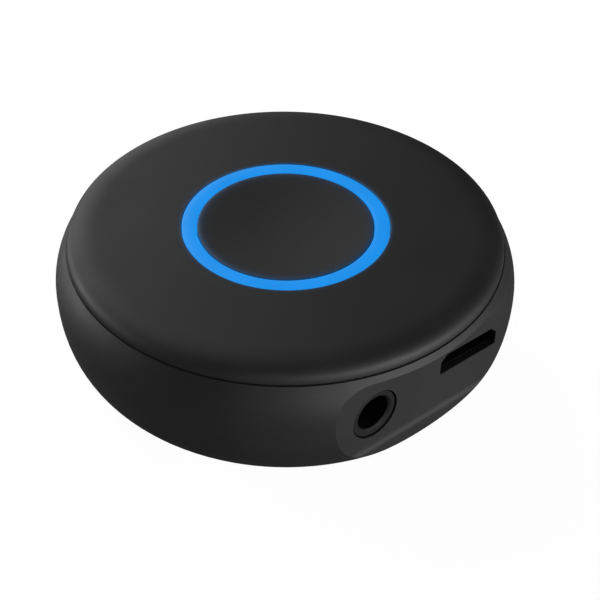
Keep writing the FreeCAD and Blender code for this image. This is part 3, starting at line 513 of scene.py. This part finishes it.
def moulded(name, tint, gloss, cell, depth, speckle=0.0, speckle_tint=(0, 0, 0), dusty=0.0,
            shaded_ports=False, **values):
    """A coloured solid with mould texture, slow gloss changes and, if asked, specks and dust."""
    material, tree, shader = start_material(name, tint, **values)
    touch = effect(tree, handling, Patch=2.5 * MM, Low=gloss[0], High=gloss[1])
    grain = effect(tree, mould_texture, Cell=cell, Clumping=0.5)
    bump = put(tree, "ShaderNodeBump", Strength=0.4, Distance=depth, Height=grain["Height"])
    color = mix_color(tree, 1.0, tint, touch["Shade"], "MULTIPLY")
    if speckle:
        lumps = noise(tree, cell * SPECK_SIZE, detail=1.0)
        specks = remap(tree, lumps, SPECKLE_LOW, SPECKLE_HIGH)
        color = mix_color(tree, sum_of(tree, "MULTIPLY", specks, speckle), color, speckle_tint)
    if dusty:
        settled = effect(tree, dust, Amount=dusty)
        color = mix_color(tree, settled["Mask"], color, PALE_DUST)
    # Painted shade: the socket's walls are darkened towards black the deeper they lie.
    if shaded_ports:
        deep = effect(tree, port_shade, Start=0.25 * MM, End=0.5 * MM)["Mask"]
        color = mix_color(tree, deep, color, SOCKET_SHADE_DARK)
    wire(tree, shader, Base_Color=color, Roughness=touch["Roughness"], Normal=bump.outputs["Normal"])
    return material


rubber = moulded("rubber", (0.016, 0.016, 0.017), (0.72, 0.9), 0.15 * MM, 0.02 * MM,
                 dusty=0.2, Sheen_Weight=0.15)
inner_white = moulded("inner_white", (0.66, 0.66, 0.63), (0.45, 0.55), 0.12 * MM, 0.01 * MM)
socket_black = moulded("socket_black", (0.012, 0.012, 0.012), (0.55, 0.65), 0.08 * MM, 0.006 * MM,
                       shaded_ports=True, Specular_IOR_Level=0.25)
fired_ceramic = moulded("fired_ceramic", (0.72, 0.7, 0.62), (0.3, 0.45), 0.1 * MM, 0.006 * MM,
                        speckle=0.3, speckle_tint=(0.45, 0.43, 0.36))
brown_ceramic = moulded("brown_ceramic", (0.3, 0.17, 0.09), (0.3, 0.42), 0.08 * MM, 0.004 * MM,
                        speckle=0.4, speckle_tint=(0.18, 0.1, 0.05))
yellow_epoxy = moulded("yellow_epoxy", (0.72, 0.4, 0.04), (0.35, 0.5), 0.1 * MM, 0.008 * MM,
                       speckle=0.15, speckle_tint=(0.5, 0.25, 0.03))
amber_tape = moulded("amber_tape", (0.6, 0.36, 0.08), (0.2, 0.35), 0.3 * MM, 0.01 * MM,
                     Coat_Weight=0.3)
red_sleeve = moulded("red_sleeve", (0.5, 0.012, 0.01), (0.35, 0.48), 0.2 * MM, 0.004 * MM)
black_sleeve = moulded("black_sleeve", (0.012, 0.012, 0.013), (0.35, 0.48), 0.2 * MM, 0.004 * MM)
diode_body = moulded("diode_body", (0.8, 0.8, 0.82), (0.3, 0.42), 0.08 * MM, 0.004 * MM,
                     Emission_Color=(0.02, 0.3, 1.0, 1.0), Emission_Strength=0.4)
print("mouldings:", ", ".join(finish.name for finish in (
    rubber, inner_white, socket_black, fired_ceramic, brown_ceramic, yellow_epoxy, amber_tape,
    red_sleeve, black_sleeve, diode_body)))

# %% [markdown]
# ## Circuit boards
#
# A board is copper lines under coloured lacquer, with bare glass laminate on its cut edges. Drawing
# a true layout would be wasted work. What the eye reads is bundles of parallel lines that change
# direction from patch to patch, with small plated holes between them, and that is two sets of
# stripes, chosen by cell, and a field of dots.

# %% Board lines and holes
LINE_EDGE = (0.22, 0.27)        # the fold's values where a line starts and is full
FILLED_SHARE = 0.28             # the share of patches that are all copper
HOLE_PITCH = 1.9 * MM
HOLE_EDGE = (0.13, 0.1)

traces, given, result = start_group(
    "traces",
    {"Pitch": ("float", 0.5 * MM), "Patch": ("float", 4 * MM)},
    {"Copper": "float", "Hole": "float"},
)
apart = axes(traces)
plan = put(traces, "ShaderNodeCombineXYZ", X=apart["X"], Y=apart["Y"])
cells = put(traces, "ShaderNodeTexVoronoi", {"distance": "MANHATTAN"},
            Vector=plan.outputs["Vector"], Scale=sum_of(traces, "DIVIDE", 1.0, given["Patch"]))
pick = put(traces, "ShaderNodeSeparateColor", Color=cells.outputs["Color"])


def stripes(tree, along):
    """Lines one pitch apart: the place within a pitch, folded in half, against a threshold."""
    fold = sum_of(tree, "PINGPONG", sum_of(tree, "DIVIDE", along, given["Pitch"]), 0.5)
    return remap(tree, fold, *LINE_EDGE)


across_x = stripes(traces, apart["X"])
across_y = stripes(traces, apart["Y"])
turned_patch = sum_of(traces, "GREATER_THAN", pick.outputs["Red"], 0.5)
either = put(traces, "ShaderNodeMix", Factor=turned_patch)
traces.links.new(across_x, either.inputs[2])
traces.links.new(across_y, either.inputs[3])
filled = sum_of(traces, "GREATER_THAN", pick.outputs["Green"], 1 - FILLED_SHARE)
traces.links.new(sum_of(traces, "MAXIMUM", either.outputs[0], filled), result["Copper"])
dots = put(traces, "ShaderNodeTexVoronoi", Vector=plan.outputs["Vector"], Scale=1 / HOLE_PITCH)
traces.links.new(remap(traces, dots.outputs["Distance"], *HOLE_EDGE), result["Hole"])
print("board lines: group", traces.name)

# %% [markdown]
# ### Lacquer
#
# The lacquer looks paler over copper than over bare laminate, and each hole is tinned. The cut
# edges show the laminate itself. They could be a second material on those faces, but the normal
# already tells an edge from a flat side, so the straw colour is mixed in where it lies level.

# %% Board lacquer
HOLE_TIN = (0.75, 0.68, 0.5)
CUT_LAMINATE = (0.32, 0.27, 0.12)


def lacquered_board(name, dark, light):
    """Lacquer over laminate (dark) and over copper (light), plated holes, bare cut edges."""
    material, tree, shader = start_material(name, dark, Coat_Weight=0.2)
    lines = effect(tree, traces, Pitch=0.5 * MM, Patch=3.5 * MM)
    coords = put(tree, "ShaderNodeTexCoord")
    facing = put(tree, "ShaderNodeSeparateXYZ", Vector=coords.outputs["Normal"])
    edge = remap(tree, sum_of(tree, "ABSOLUTE", facing.outputs["Z"]), 0.6, 0.4)
    color = mix_color(tree, lines["Copper"], dark, light)
    color = mix_color(tree, lines["Hole"], color, HOLE_TIN)
    color = mix_color(tree, edge, color, CUT_LAMINATE)
    touch = effect(tree, handling, Patch=3 * MM, Low=0.28, High=0.4)
    raised = sum_of(tree, "ADD", lines["Copper"], lines["Hole"])
    bump = put(tree, "ShaderNodeBump", Strength=0.6, Distance=0.03 * MM, Height=raised)
    bare = sum_of(tree, "MULTIPLY", lines["Hole"], sum_of(tree, "SUBTRACT", 1.0, edge))
    wire(tree, shader, Base_Color=color, Metallic=bare, Roughness=touch["Roughness"],
         Normal=bump.outputs["Normal"])
    return material


board_green = lacquered_board("board_green", (0.004, 0.05, 0.022), (0.012, 0.12, 0.05))
guard_green = lacquered_board("guard_green", (0.003, 0.04, 0.03), (0.01, 0.1, 0.07))
print("boards:", board_green.name, guard_green.name)

# %% [markdown]
# ## Chips
#
# A chip is a black epoxy block on a row of tinned leads. Both are one CAD node, so two materials
# would need its faces sorted by hand. The finish tells them apart by place instead: whatever lies
# within a lead's height of the board is tin.

# %% Chip finish
board_low, board_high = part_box("main_board")
LEAD_HEIGHT = 0.16 * MM
LEAD_TIN = (0.6, 0.6, 0.58)
LEAD_ROUGHNESS = 0.3


def chip_finish(name, tint):
    """Moulded black epoxy, and tin where the part stands next to the board's two faces."""
    material, tree, shader = start_material(name, tint)
    apart = axes(tree)
    middle = (board_low[2] + board_high[2]) / 2
    half = (board_high[2] - board_low[2]) / 2 + LEAD_HEIGHT
    away = sum_of(tree, "ABSOLUTE", sum_of(tree, "SUBTRACT", apart["Z"], middle))
    lead = sum_of(tree, "LESS_THAN", away, half)
    touch = effect(tree, handling, Patch=1.2 * MM, Low=0.45, High=0.6)
    grain = effect(tree, mould_texture, Cell=0.07 * MM, Clumping=0.8)
    bump = put(tree, "ShaderNodeBump", Strength=0.5, Distance=0.008 * MM, Height=grain["Height"])
    gloss = remap(tree, lead, 0.0, 1.0, touch["Roughness"], LEAD_ROUGHNESS)
    color = mix_color(tree, lead, tint, LEAD_TIN)
    wire(tree, shader, Base_Color=color, Metallic=lead, Roughness=gloss,
         Normal=bump.outputs["Normal"])
    return material


chip_epoxy = chip_finish("chip_epoxy", (0.02, 0.02, 0.022))
board_thickness = (board_high[2] - board_low[2]) / MM
print("chips:", chip_epoxy.name, "on a board", round(board_thickness, 2), "mm thick")

# %% [markdown]
# ## Every carried-over node gets its finish
#
# The record names a material slot for each sub-part. One table turns slots into finishes, with one
# exception: the USB shell is steel like the other sheet parts, but it gets a near-black metal
# finish, painted shade that makes its opening read as a black slot.

# %% Finishes by slot
finish_of_slot = {
    "shell_plastic": case_black,
    "cover_plastic": cover_black,
    "button_plastic": button_black,
    "diffuser": ring_lit,
    "inner_plastic": inner_white,
    "foot_rubber": rubber,
    "board": board_green,
    "steel": tin_plate,
    "gold_plate": gold_flash,
    "connector_plastic": socket_black,
    "chip_black": chip_epoxy,
    "ceramic": fired_ceramic,
    "capacitor_brown": brown_ceramic,
    "capacitor_yellow": yellow_epoxy,
    "led": diode_body,
    "pouch": pouch_foil,
    "tape": amber_tape,
    "guard_board": guard_green,
    "lead_red": red_sleeve,
    "lead_black": black_sleeve,
}
finish_of_node = {"usb_shell": slot_shade_metal}
for part in frame["record"]["subparts"]:
    finish = finish_of_node.get(part["node"], finish_of_slot[part["material_slot"]])
    mesh = nodes[part["node"]].data
    mesh.materials.clear()
    mesh.materials.append(finish)

# %% [markdown]
# ## Surfaces worked out with numpy
#
# Four pieces of this object are turned shapes: the cover, the ring, the button and the foot. Their
# outlines could be drawn point by point, but it is easier to give the corners and let one function
# round each corner with a true arc, because every moulded edge has a small radius that catches the
# light. Fuller curves are cubic Beziers.

# %% Rounded outlines and curves
SAME_POINT = 1e-6


def unit(vectors):
    """Each vector divided by its length."""
    return vectors / np.linalg.norm(vectors, axis=-1, keepdims=True)


def rounded(corners, steps=7, closed=True):
    """Outline points from (r, z, rounding) corners, with an arc at each corner.

    The arc at a corner touches both of its sides. It starts and ends at the distance
    rounding / tan(half the corner's angle), its centre is on the corner's bisector at
    rounding / sin(half the angle), and its points turn evenly from the start to the end.
    """
    table = np.array(corners, dtype=float)
    place, rounding = table[:, :2], table[:, 2:]
    back = unit(np.roll(place, 1, axis=0) - place)
    on = unit(np.roll(place, -1, axis=0) - place)
    half = np.arccos(np.clip((back * on).sum(axis=1, keepdims=True), -1, 1)) / 2
    reach = rounding / np.tan(half)
    bisector = unit(back + on + 1e-12)
    centre = place + bisector * rounding / np.sin(half)
    first, last = place + back * reach - centre, place + on * reach - centre
    turn = (np.pi - 2 * half)[:, :, None]
    part = np.linspace(0, 1, steps)[None, :, None]
    arc = np.sin((1 - part) * turn) * first[:, None] + np.sin(part * turn) * last[:, None]
    points = (centre[:, None] + arc / np.sin(turn)).reshape(-1, 2)
    if not closed:
        points = points[steps - 1:len(points) - steps + 1]
        points[0], points[-1] = place[0], place[-1]
    step = np.linalg.norm(points - np.roll(points, 1, axis=0), axis=1)
    step[0] = 1 if not closed else step[0]
    return points[step > SAME_POINT]


def bezier(poles, steps):
    """Points on a cubic curve: each pole weighted by its Bernstein polynomial."""
    t = np.linspace(0, 1, steps)[:, None]
    p = np.array(poles, dtype=float)
    return (1 - t)**3 * p[0] + 3 * (1 - t)**2 * t * p[1] + 3 * (1 - t) * t**2 * p[2] + t**3 * p[3]


square = rounded([(1, 0, 0.1), (2, 0, 0.1), (2, 1, 0.1), (1, 1, 0.1)])
print("a square with rounded corners has", len(square), "points")

# %% [markdown]
# ## Turned surfaces
#
# A turned shape is a function of two parameters, the place along an outline and the angle round the
# axis, so numpy can work out all of its points at once. The Screw modifier does much the same, but
# written out, it is plain which way the faces point and how the poles on the axis are closed.

# %% Turned surfaces
def turned(outline, steps=240, start=0.0, sweep=360.0):
    """A surface turned about the Z axis from a counter-clockwise outline of (r, z) points in mm.

    Point (i, j) is (r_i cos a_j, r_i sin a_j, z_i), with a_j = start + sweep * j / steps. Where
    the outline starts and ends on the axis, each end is one point, a pole, with a fan of
    triangles round it. A part turn is closed by a flat face at each end.
    """
    full = sweep >= 360
    poles = outline[0, 0] < SAME_POINT and outline[-1, 0] < SAME_POINT
    rows = outline[1:-1] if poles else outline
    columns = steps if full else steps + 1
    angle = np.radians(start + sweep * np.arange(columns) / steps)[None, :]
    r, z = rows[:, :1], rows[:, 1:]
    points = np.stack([r * np.cos(angle), r * np.sin(angle), z + 0 * angle], axis=-1).reshape(-1, 3)
    i = np.arange(len(rows) - 1 if poles else len(rows))[:, None]
    j = np.arange(steps)[None, :]
    next_i, next_j = (i + 1) % len(rows), (j + 1) % columns
    quads = np.stack([i * columns + j, i * columns + next_j,
                      next_i * columns + next_j, next_i * columns + j], axis=-1).reshape(-1, 4)
    faces = quads.tolist()
    if poles:
        low, high = len(points), len(points) + 1
        points = np.vstack([points, [[0, 0, outline[0, 1]], [0, 0, outline[-1, 1]]]])
        ring = np.arange(columns)
        after = (ring + 1) % columns
        top = (len(rows) - 1) * columns
        faces += np.stack([0 * ring + low, after, ring], axis=-1).tolist()
        faces += np.stack([0 * ring + high, ring + top, after + top], axis=-1).tolist()
    if not full:
        row = np.arange(len(rows)) * columns
        faces += [row.tolist(), (row + steps)[::-1].tolist()]
    return points, faces


def moved(surface, x=0.0, y=0.0):
    """The same surface somewhere else at the same height."""
    points, faces = surface
    return points + np.array([x, y, 0]), faces


points, faces = turned(square, steps=12)
print("turned in 12 steps it has", len(points), "points and", len(faces), "faces")

# %% [markdown]
# ## From surfaces to a piece
#
# One piece may be several closed surfaces, such as a cover with its pins. They become one mesh at
# the origin, in metres. Flat shading would show every facet, and smooth shading alone would bend
# the light over flats beside small radii. So shading is smooth apart from edges of more than 40
# degrees, and a Weighted Normal modifier lets the large faces set the normals.

# %% Pieces
SHARP_FROM = math.radians(40)


def add_piece(name, surfaces, material, node, body="case"):
    """One mesh object from closed surfaces in mm, which takes the place of a CAD node."""
    points = np.vstack([points for points, faces in surfaces]) * MM
    faces, start = [], 0
    for part_points, part_faces in surfaces:
        faces += [[corner + start for corner in face] for face in part_faces]
        start += len(part_points)
    mesh = bpy.data.meshes.new(name)
    mesh.from_pydata(points.tolist(), [], faces)
    mesh.update()
    mesh.shade_smooth()
    mesh.set_sharp_from_angle(angle=SHARP_FROM)
    mesh.materials.append(material)
    piece = bpy.data.objects.new(name, mesh)
    scene.collection.objects.link(piece)
    flatter = piece.modifiers.new("flat_faces_stay_flat", "WEIGHTED_NORMAL")
    flatter.keep_sharp = True
    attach(piece, body)
    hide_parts(node)
    low, high = points.min(axis=0) / MM, points.max(axis=0) / MM
    print(name, len(points), "points, mm", low.round(2), high.round(2))


print("edges sharper than", round(math.degrees(SHARP_FROM)), "degrees stay sharp")

# %% [markdown]
# ## The top cover
#
# The cover is one moulding: a flat crown that bends down over its edge, an opening for the ring,
# and under it a snap skirt with five catches, and four pins that are melted over the retainer.
# The crown is a turned outline. Its rounded edge is a fuller curve than a quarter circle, so it
# is a cubic Bezier from the flat top to the parting line. A bevelled cylinder would be quicker, but
# its edge would show where the straight and the round stretches meet.

# %% Crown
cover_low, cover_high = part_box("top_cover")
cover_top, cover_radius = cover_high[2] / MM, cover_high[0] / MM
shell_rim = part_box("bottom_shell")[1][2] / MM
GROOVE_HEIGHT, GROOVE_DEPTH = 0.12, 0.3
COVER_WALL, EDGE_WIDTH, EDGE_FULLNESS = 1.4, 3.0, 0.687
EDGE_FOOT = 0.06                          # the small radius beside the parting line
RING_GAP = 0.05
SKIRT_INNER, SKIRT_OUTER = 19.02, 20.02

parting = shell_rim + GROOVE_HEIGHT
cover_under = cover_top - COVER_WALL
opening = RING_OUTER / MM + RING_GAP
edge_start = cover_radius - EDGE_WIDTH
edge_curve = bezier([
    (cover_radius, parting + EDGE_FOOT),
    (cover_radius, parting + EDGE_FULLNESS * (cover_top - parting)),
    (edge_start + EDGE_FULLNESS * EDGE_WIDTH, cover_top),
    (edge_start, cover_top),
], 40)
inner_edges = rounded([
    (edge_start, cover_top, 0),
    (opening, cover_top, 0.09),
    (opening, cover_under, 0.05),
    (SKIRT_INNER, cover_under, 0.2),
    (SKIRT_INNER, shell_rim, 0),
    (cover_radius - GROOVE_DEPTH, shell_rim, 0),
    (cover_radius - GROOVE_DEPTH, parting, 0.03),
    (cover_radius - EDGE_FOOT, parting, 0),
], closed=False)
foot_of_edge = bezier([
    (cover_radius - EDGE_FOOT, parting),
    (cover_radius - EDGE_FOOT / 3, parting),
    (cover_radius, parting + EDGE_FOOT / 3),
    (cover_radius, parting + EDGE_FOOT),
], 5)
crown = turned(np.vstack([edge_curve[:-1], inner_edges[:-1], foot_of_edge[:-1]]), steps=360)
print("crown:", len(crown[0]), "points, parting line at z", round(parting, 2), "mm")

# %% [markdown]
# ### Skirt, catches and pins
#
# These are turned outlines too. The skirt is turned only part of the way, because it stops short of
# the port flat, and each catch is a short stretch of a small wedge. A pin is a turned outline about
# its own axis, with the wide head that it gets when its end is melted, and is then moved to its
# place on a circle.

# %% Skirt, catches and pins
SINK = 0.1                                # how far the skirt and the pins run into the crown
SKIRT_STOP = 18.52                        # the skirt's ends lie this far from the X axis
CATCH_ANGLES, CATCH_WIDTH, CATCH_BITE = (0, 55, 90, 125, 180), 5.0, 0.3
PIN_ANGLES, PIN_RADIUS, PIN_INSET = (45, 135, 225, 315), 0.5, 0.95
HEAD_RADIUS, HEAD_HEIGHT = 0.85, 0.22

skirt_end = cover_low[2] / MM
gap_half = math.degrees(math.acos(SKIRT_STOP / SKIRT_OUTER))
skirt = turned(rounded([
    (SKIRT_INNER, skirt_end, 0.15),
    (SKIRT_OUTER, skirt_end, 0.3),
    (SKIRT_OUTER, shell_rim + SINK, 0),
    (SKIRT_INNER, shell_rim + SINK, 0),
]), steps=300, start=-90 + gap_half, sweep=360 - 2 * gap_half)

catch_outline = rounded([
    (SKIRT_OUTER - 0.3, skirt_end + 0.3, 0),
    (SKIRT_OUTER + CATCH_BITE / 2, skirt_end + 0.3, 0.05),
    (SKIRT_OUTER + CATCH_BITE, skirt_end + 0.6, 0.1),
    (SKIRT_OUTER + CATCH_BITE, skirt_end + 0.8, 0.05),
    (SKIRT_OUTER - 0.3, skirt_end + 0.8, 0),
])
catch_half = math.degrees(CATCH_WIDTH / 2 / SKIRT_OUTER)
catches = [
    turned(catch_outline, steps=20, start=angle - catch_half, sweep=2 * catch_half)
    for angle in CATCH_ANGLES
]

retainer_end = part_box("ring_retainer")[0][2] / MM
head_end = retainer_end - HEAD_HEIGHT
pin_outline = rounded([
    (0, head_end, 0),
    (PIN_RADIUS, head_end, 0.05),
    (HEAD_RADIUS, head_end + 0.16, 0.05),
    (PIN_RADIUS, head_end + 0.26, 0.02),
    (PIN_RADIUS, cover_under + SINK, 0),
    (0, cover_under + SINK, 0),
], closed=False)
pin_circle = ring_high[0] / MM + PIN_INSET
pins = []
for angle in PIN_ANGLES:
    x, y = pin_circle * math.cos(math.radians(angle)), pin_circle * math.sin(math.radians(angle))
    pins.append(moved(turned(pin_outline, steps=32), x, y))
add_piece("cover", [crown, skirt, *catches, *pins], cover_black, "top_cover")

# %% [markdown]
# ## The light ring
#
# The diffuser is nearly flush with the cover, and its face is very slightly crowned, so that light
# runs round it softly. A torus would be too round. The crown is a parabola across the ring's width:
# its height falls with the square of the distance from the middle. Below the face, the ring has the
# flange that holds it down.

# %% Light ring
CROWN, CHAMFER = 0.05, 0.05
FLANGE_THICKNESS, FLANGE_GAP, SKIRT_GAP = 0.65, 0.05, 0.15
STEP_Z = 13.1                             # the ceiling above the button's flange

ring_top, ring_end = ring_high[2] / MM, ring_low[2] / MM
r_in, r_out = RING_INNER / MM, RING_OUTER / MM
face = np.linspace(1, -1, 25)[:, None]
face_points = np.hstack([
    (r_in + r_out) / 2 + face * ((r_out - r_in) / 2 - CHAMFER),
    ring_top - CROWN * face**2,
])
flange = ring_high[0] / MM
flange_top = cover_under - FLANGE_GAP
flange_under = flange_top - FLANGE_THICKNESS
skirt_radius = cap_high[0] / MM + SKIRT_GAP
below = rounded([
    (r_in + CHAMFER, ring_top - CROWN, 0),
    (r_in, ring_top - CROWN - CHAMFER, 0),
    (r_in, STEP_Z, 0.05),
    (skirt_radius, STEP_Z, 0.05),
    (skirt_radius, ring_end, 0.1),
    (r_out, ring_end, 0.1),
    (r_out, flange_under, 0.05),
    (flange, flange_under, 0.1),
    (flange, flange_top, 0.1),
    (r_out, flange_top, 0.05),
    (r_out, ring_top - CROWN - CHAMFER, 0),
    (r_out - CHAMFER, ring_top - CROWN, 0),
], closed=False)
ring_surface = turned(np.vstack([face_points[:-1], below[:-1]]))
add_piece("ring", [ring_surface], ring_lit, "light_ring")

# %% [markdown]
# ## The button
#
# The button fills the ring. Its face is dished for a fingertip, a little over half a millimetre
# deep, and flat near the edge. A cut with a large ball would leave a crease where the dish meets
# the flat edge. A moulder polishes that away, so the dish follows (1 - (r / R)^2)^1.15, which eases
# off towards its edge.

# %% Button
RIM, DISH_DEPTH, DISH_POWER = 0.35, 0.55, 1.15
BUTTON_WALL, PAD_RADIUS = 1.0, 1.4
PAD_Z, CEILING_Z, FLANGE_TOP_Z = 13.08, 13.15, 13.05     # the pad presses the switch

button_top, button_end = cap_high[2] / MM, cap_low[2] / MM
button_radius = (RING_INNER - BUTTON_GAP) / MM
dish_radius = button_radius - RIM
across = np.linspace(dish_radius, 0, 60)[:, None]
depth = DISH_DEPTH * (1 - (across / dish_radius)**2)**DISH_POWER
dish = np.hstack([across, button_top - depth])
flange_radius = cap_high[0] / MM
button_outline = rounded([
    (0, PAD_Z, 0),
    (PAD_RADIUS, PAD_Z, 0.03),
    (PAD_RADIUS, CEILING_Z, 0),
    (button_radius - BUTTON_WALL, CEILING_Z, 0.1),
    (button_radius - BUTTON_WALL, button_end, 0.1),
    (flange_radius, button_end, 0.1),
    (flange_radius, FLANGE_TOP_Z, 0.1),
    (button_radius, FLANGE_TOP_Z, 0.05),
    (button_radius, button_top, 0.1),
    (dish_radius, button_top, 0),
], closed=False)
button_surface = turned(np.vstack([button_outline[:-1], dish]))
add_piece("button", [button_surface], button_black, "button_cap", body="button")

# %% [markdown]
# ## The rubber foot
#
# A round pad of soft rubber is pressed into the underside. It is the only part that touches the
# table, so it has a rounded edge, a groove that acts as a suction line, and fine anti-slip rings in
# the middle. A bump in the material could fake those rings, but they would vanish at a low angle.
# In the outline they are a cosine wave, z = D (1 - cos(2 pi r / P)) / 2, and cost nothing.

# %% Rubber foot
RIB_COUNT, RIB_PITCH, RIB_DEPTH, POINTS_PER_RIB = 12, 0.8, 0.1, 12
GROOVE_IN, GROOVE_OUT, GROOVE_TOP, GROOVE_ROUND = 10.6, 11.4, 0.25, 0.08

foot_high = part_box("rubber_foot")[1]
foot_radius, foot_top = foot_high[0] / MM, foot_high[2] / MM
rib_r = np.linspace(0, RIB_COUNT * RIB_PITCH, RIB_COUNT * POINTS_PER_RIB + 1)[:, None]
rib_z = RIB_DEPTH * (1 - np.cos(2 * np.pi * rib_r / RIB_PITCH)) / 2
foot_edge = rounded([
    (RIB_COUNT * RIB_PITCH, 0, 0),
    (GROOVE_IN, 0, GROOVE_ROUND),
    (GROOVE_IN, GROOVE_TOP, GROOVE_ROUND),
    (GROOVE_OUT, GROOVE_TOP, GROOVE_ROUND),
    (GROOVE_OUT, 0, GROOVE_ROUND),
    (foot_radius, 0, 0.3),
    (foot_radius, foot_top, 0.1),
    (0, foot_top, 0),
], closed=False)
foot_surface = turned(np.vstack([np.hstack([rib_r, rib_z]), foot_edge[1:]]))
add_piece("foot", [foot_surface], rubber, "rubber_foot")

# %% [markdown]
# ## The battery pouch
#
# The cell is a foil pouch, so it has no straight edges. Its body is a pillow with a boxy, rounded
# section, and at both ends the foil runs out into a flat sealed hem. One grid does it: along the
# cell, the half-thickness drops from full to the hem's, and round the cell, each point lies on a
# superellipse.

# %% Battery pouch
def pouch(low, high, hem=1.3, shoulder=2.08, hem_half=0.12, squareness=5.0, rows=90, columns=96):
    """A pillow that fills the box from low to high, in mm.

    Row i lies at x_i, and its section is the superellipse
    y = W sign(cos a) |cos a|^(2/n), z = H_i sign(sin a) |sin a|^(2/n), with n the squareness.
    Past the hem, H_i rises from the hem's half thickness to the full one over the shoulder's
    width, as a quarter of an ellipse. The hem lies at the height of the cell's middle, as the two
    foil sheets meet there.
    """
    middle, half = (low + high) / 2, (high - low) / 2
    x = np.sin(np.linspace(-np.pi / 2, np.pi / 2, rows)) * half[0]
    rise = np.clip((half[0] - np.abs(x) - hem) / shoulder, 0, 1)
    swell = (1 - (1 - rise)**2)**0.5
    tall = hem_half + (half[2] - hem_half) * swell
    angle = 2 * np.pi * np.arange(columns) / columns
    power = 2 / squareness
    wide = np.sign(np.cos(angle)) * np.abs(np.cos(angle))**power * half[1]
    high_part = np.sign(np.sin(angle)) * np.abs(np.sin(angle))**power
    points = np.stack([
        x[:, None] + 0 * angle,
        wide[None, :] + 0 * x[:, None],
        tall[:, None] * high_part[None, :],
    ], axis=-1).reshape(-1, 3) + middle
    i = np.arange(rows - 1)[:, None]
    j = np.arange(columns)[None, :]
    after = (j + 1) % columns
    quads = np.stack([i * columns + j, i * columns + after,
                      (i + 1) * columns + after, (i + 1) * columns + j], axis=-1).reshape(-1, 4)
    first_ring = np.arange(columns)
    last_ring = first_ring + (rows - 1) * columns
    return points, quads.tolist() + [first_ring[::-1].tolist(), last_ring.tolist()]


cell_low, cell_high = (np.array(corner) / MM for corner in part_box("battery_cell"))
add_piece("battery", [pouch(cell_low, cell_high)], pouch_foil, "battery_cell")

# %% [markdown]
# ## The floor
#
# A product like this is shown on a pale sweep. A real white floor throws light up under the body,
# which a matt black puck on a bright page doesn't show. So the floor is bright only to the camera,
# and much dimmer to the light that bounces off it.

# %% Floor
BACKDROP_WHITE = 0.95
FLOOR_GAP = 0.01 * MM
FLOOR_HALF = 3.0                          # metres
FLOOR_GREY, FLOOR_SEEN = (0.3, 0.3, 0.3), (0.15, 0.15, 0.15)


def add_floor(half):
    """A square floor just under the foot. Only the camera sees it at its full brightness."""
    mesh = bpy.data.meshes.new("floor")
    z = -FLOOR_GAP
    corners = [(-half, -half, z), (half, -half, z), (half, half, z), (-half, half, z)]
    mesh.from_pydata(corners, [], [(0, 1, 2, 3)])
    floor = bpy.data.objects.new("floor", mesh)
    scene.collection.objects.link(floor)
    material, tree, shader = start_material("floor_white", (0.8, 0.8, 0.8), Roughness=0.9)
    shader["Specular IOR Level"].default_value = 0.1
    seen = put(tree, "ShaderNodeLightPath").outputs["Is Camera Ray"]
    shader["Emission Color"].default_value = (1, 1, 1, 1)
    wire(tree, shader, Base_Color=mix_color(tree, seen, FLOOR_GREY, FLOOR_SEEN),
         Emission_Strength=sum_of(tree, "MULTIPLY", seen, BACKDROP_WHITE))
    mesh.materials.append(material)


add_floor(FLOOR_HALF)
print("floor:", 2 * FLOOR_HALF, "m square")

# %% [markdown]
# ## The lights
#
# A matt black body shows only the shape of its highlights. One large light overhead would wash out
# the flat top, so five round soft lights stand low in front and behind, where the rims and the
# sides catch them, and nothing hangs over the top.

# %% Lights
LIGHT_DISTANCE = 0.5
LIGHT_SIZE = 0.3
lights = {
    # name: azimuth from the port side towards +X, elevation, watts
    "front": (0, 10, 1.74),
    "front_right": (30, 3, 1.7),
    "rear_left": (-150, 3, 1.92),
    "rear_right": (165, 20, 0.49),
    "rear_high": (180, 35, 0.53),
}


def add_light(name, azimuth, elevation, watts):
    """A round soft light that faces the object's middle."""
    a, e = math.radians(azimuth), math.radians(elevation)
    toward = Vector((math.sin(a) * math.cos(e), -math.cos(a) * math.cos(e), math.sin(e)))
    data = bpy.data.lights.new(name, "AREA")
    data.shape = "DISK"
    data.size = LIGHT_SIZE
    data.energy = watts
    light = bpy.data.objects.new(name, data)
    light.visible_camera = False
    scene.collection.objects.link(light)
    light.location = toward * LIGHT_DISTANCE
    light.rotation_euler = toward.to_track_quat("Z", "Y").to_euler()


for name, values in lights.items():
    add_light(name, *values)

world = bpy.data.worlds.new("world")
world.use_nodes = True
background = world.node_tree.nodes["Background"]
seen = put(world.node_tree, "ShaderNodeLightPath").outputs["Is Camera Ray"]
world.node_tree.links.new(seen, background.inputs["Strength"])
background.inputs["Color"].default_value = (*[BACKDROP_WHITE] * 3, 1)
scene.world = world
all_watts = sum(watts for azimuth, elevation, watts in lights.values())
print("lights:", len(lights), "with", round(all_watts, 2), "W in all")
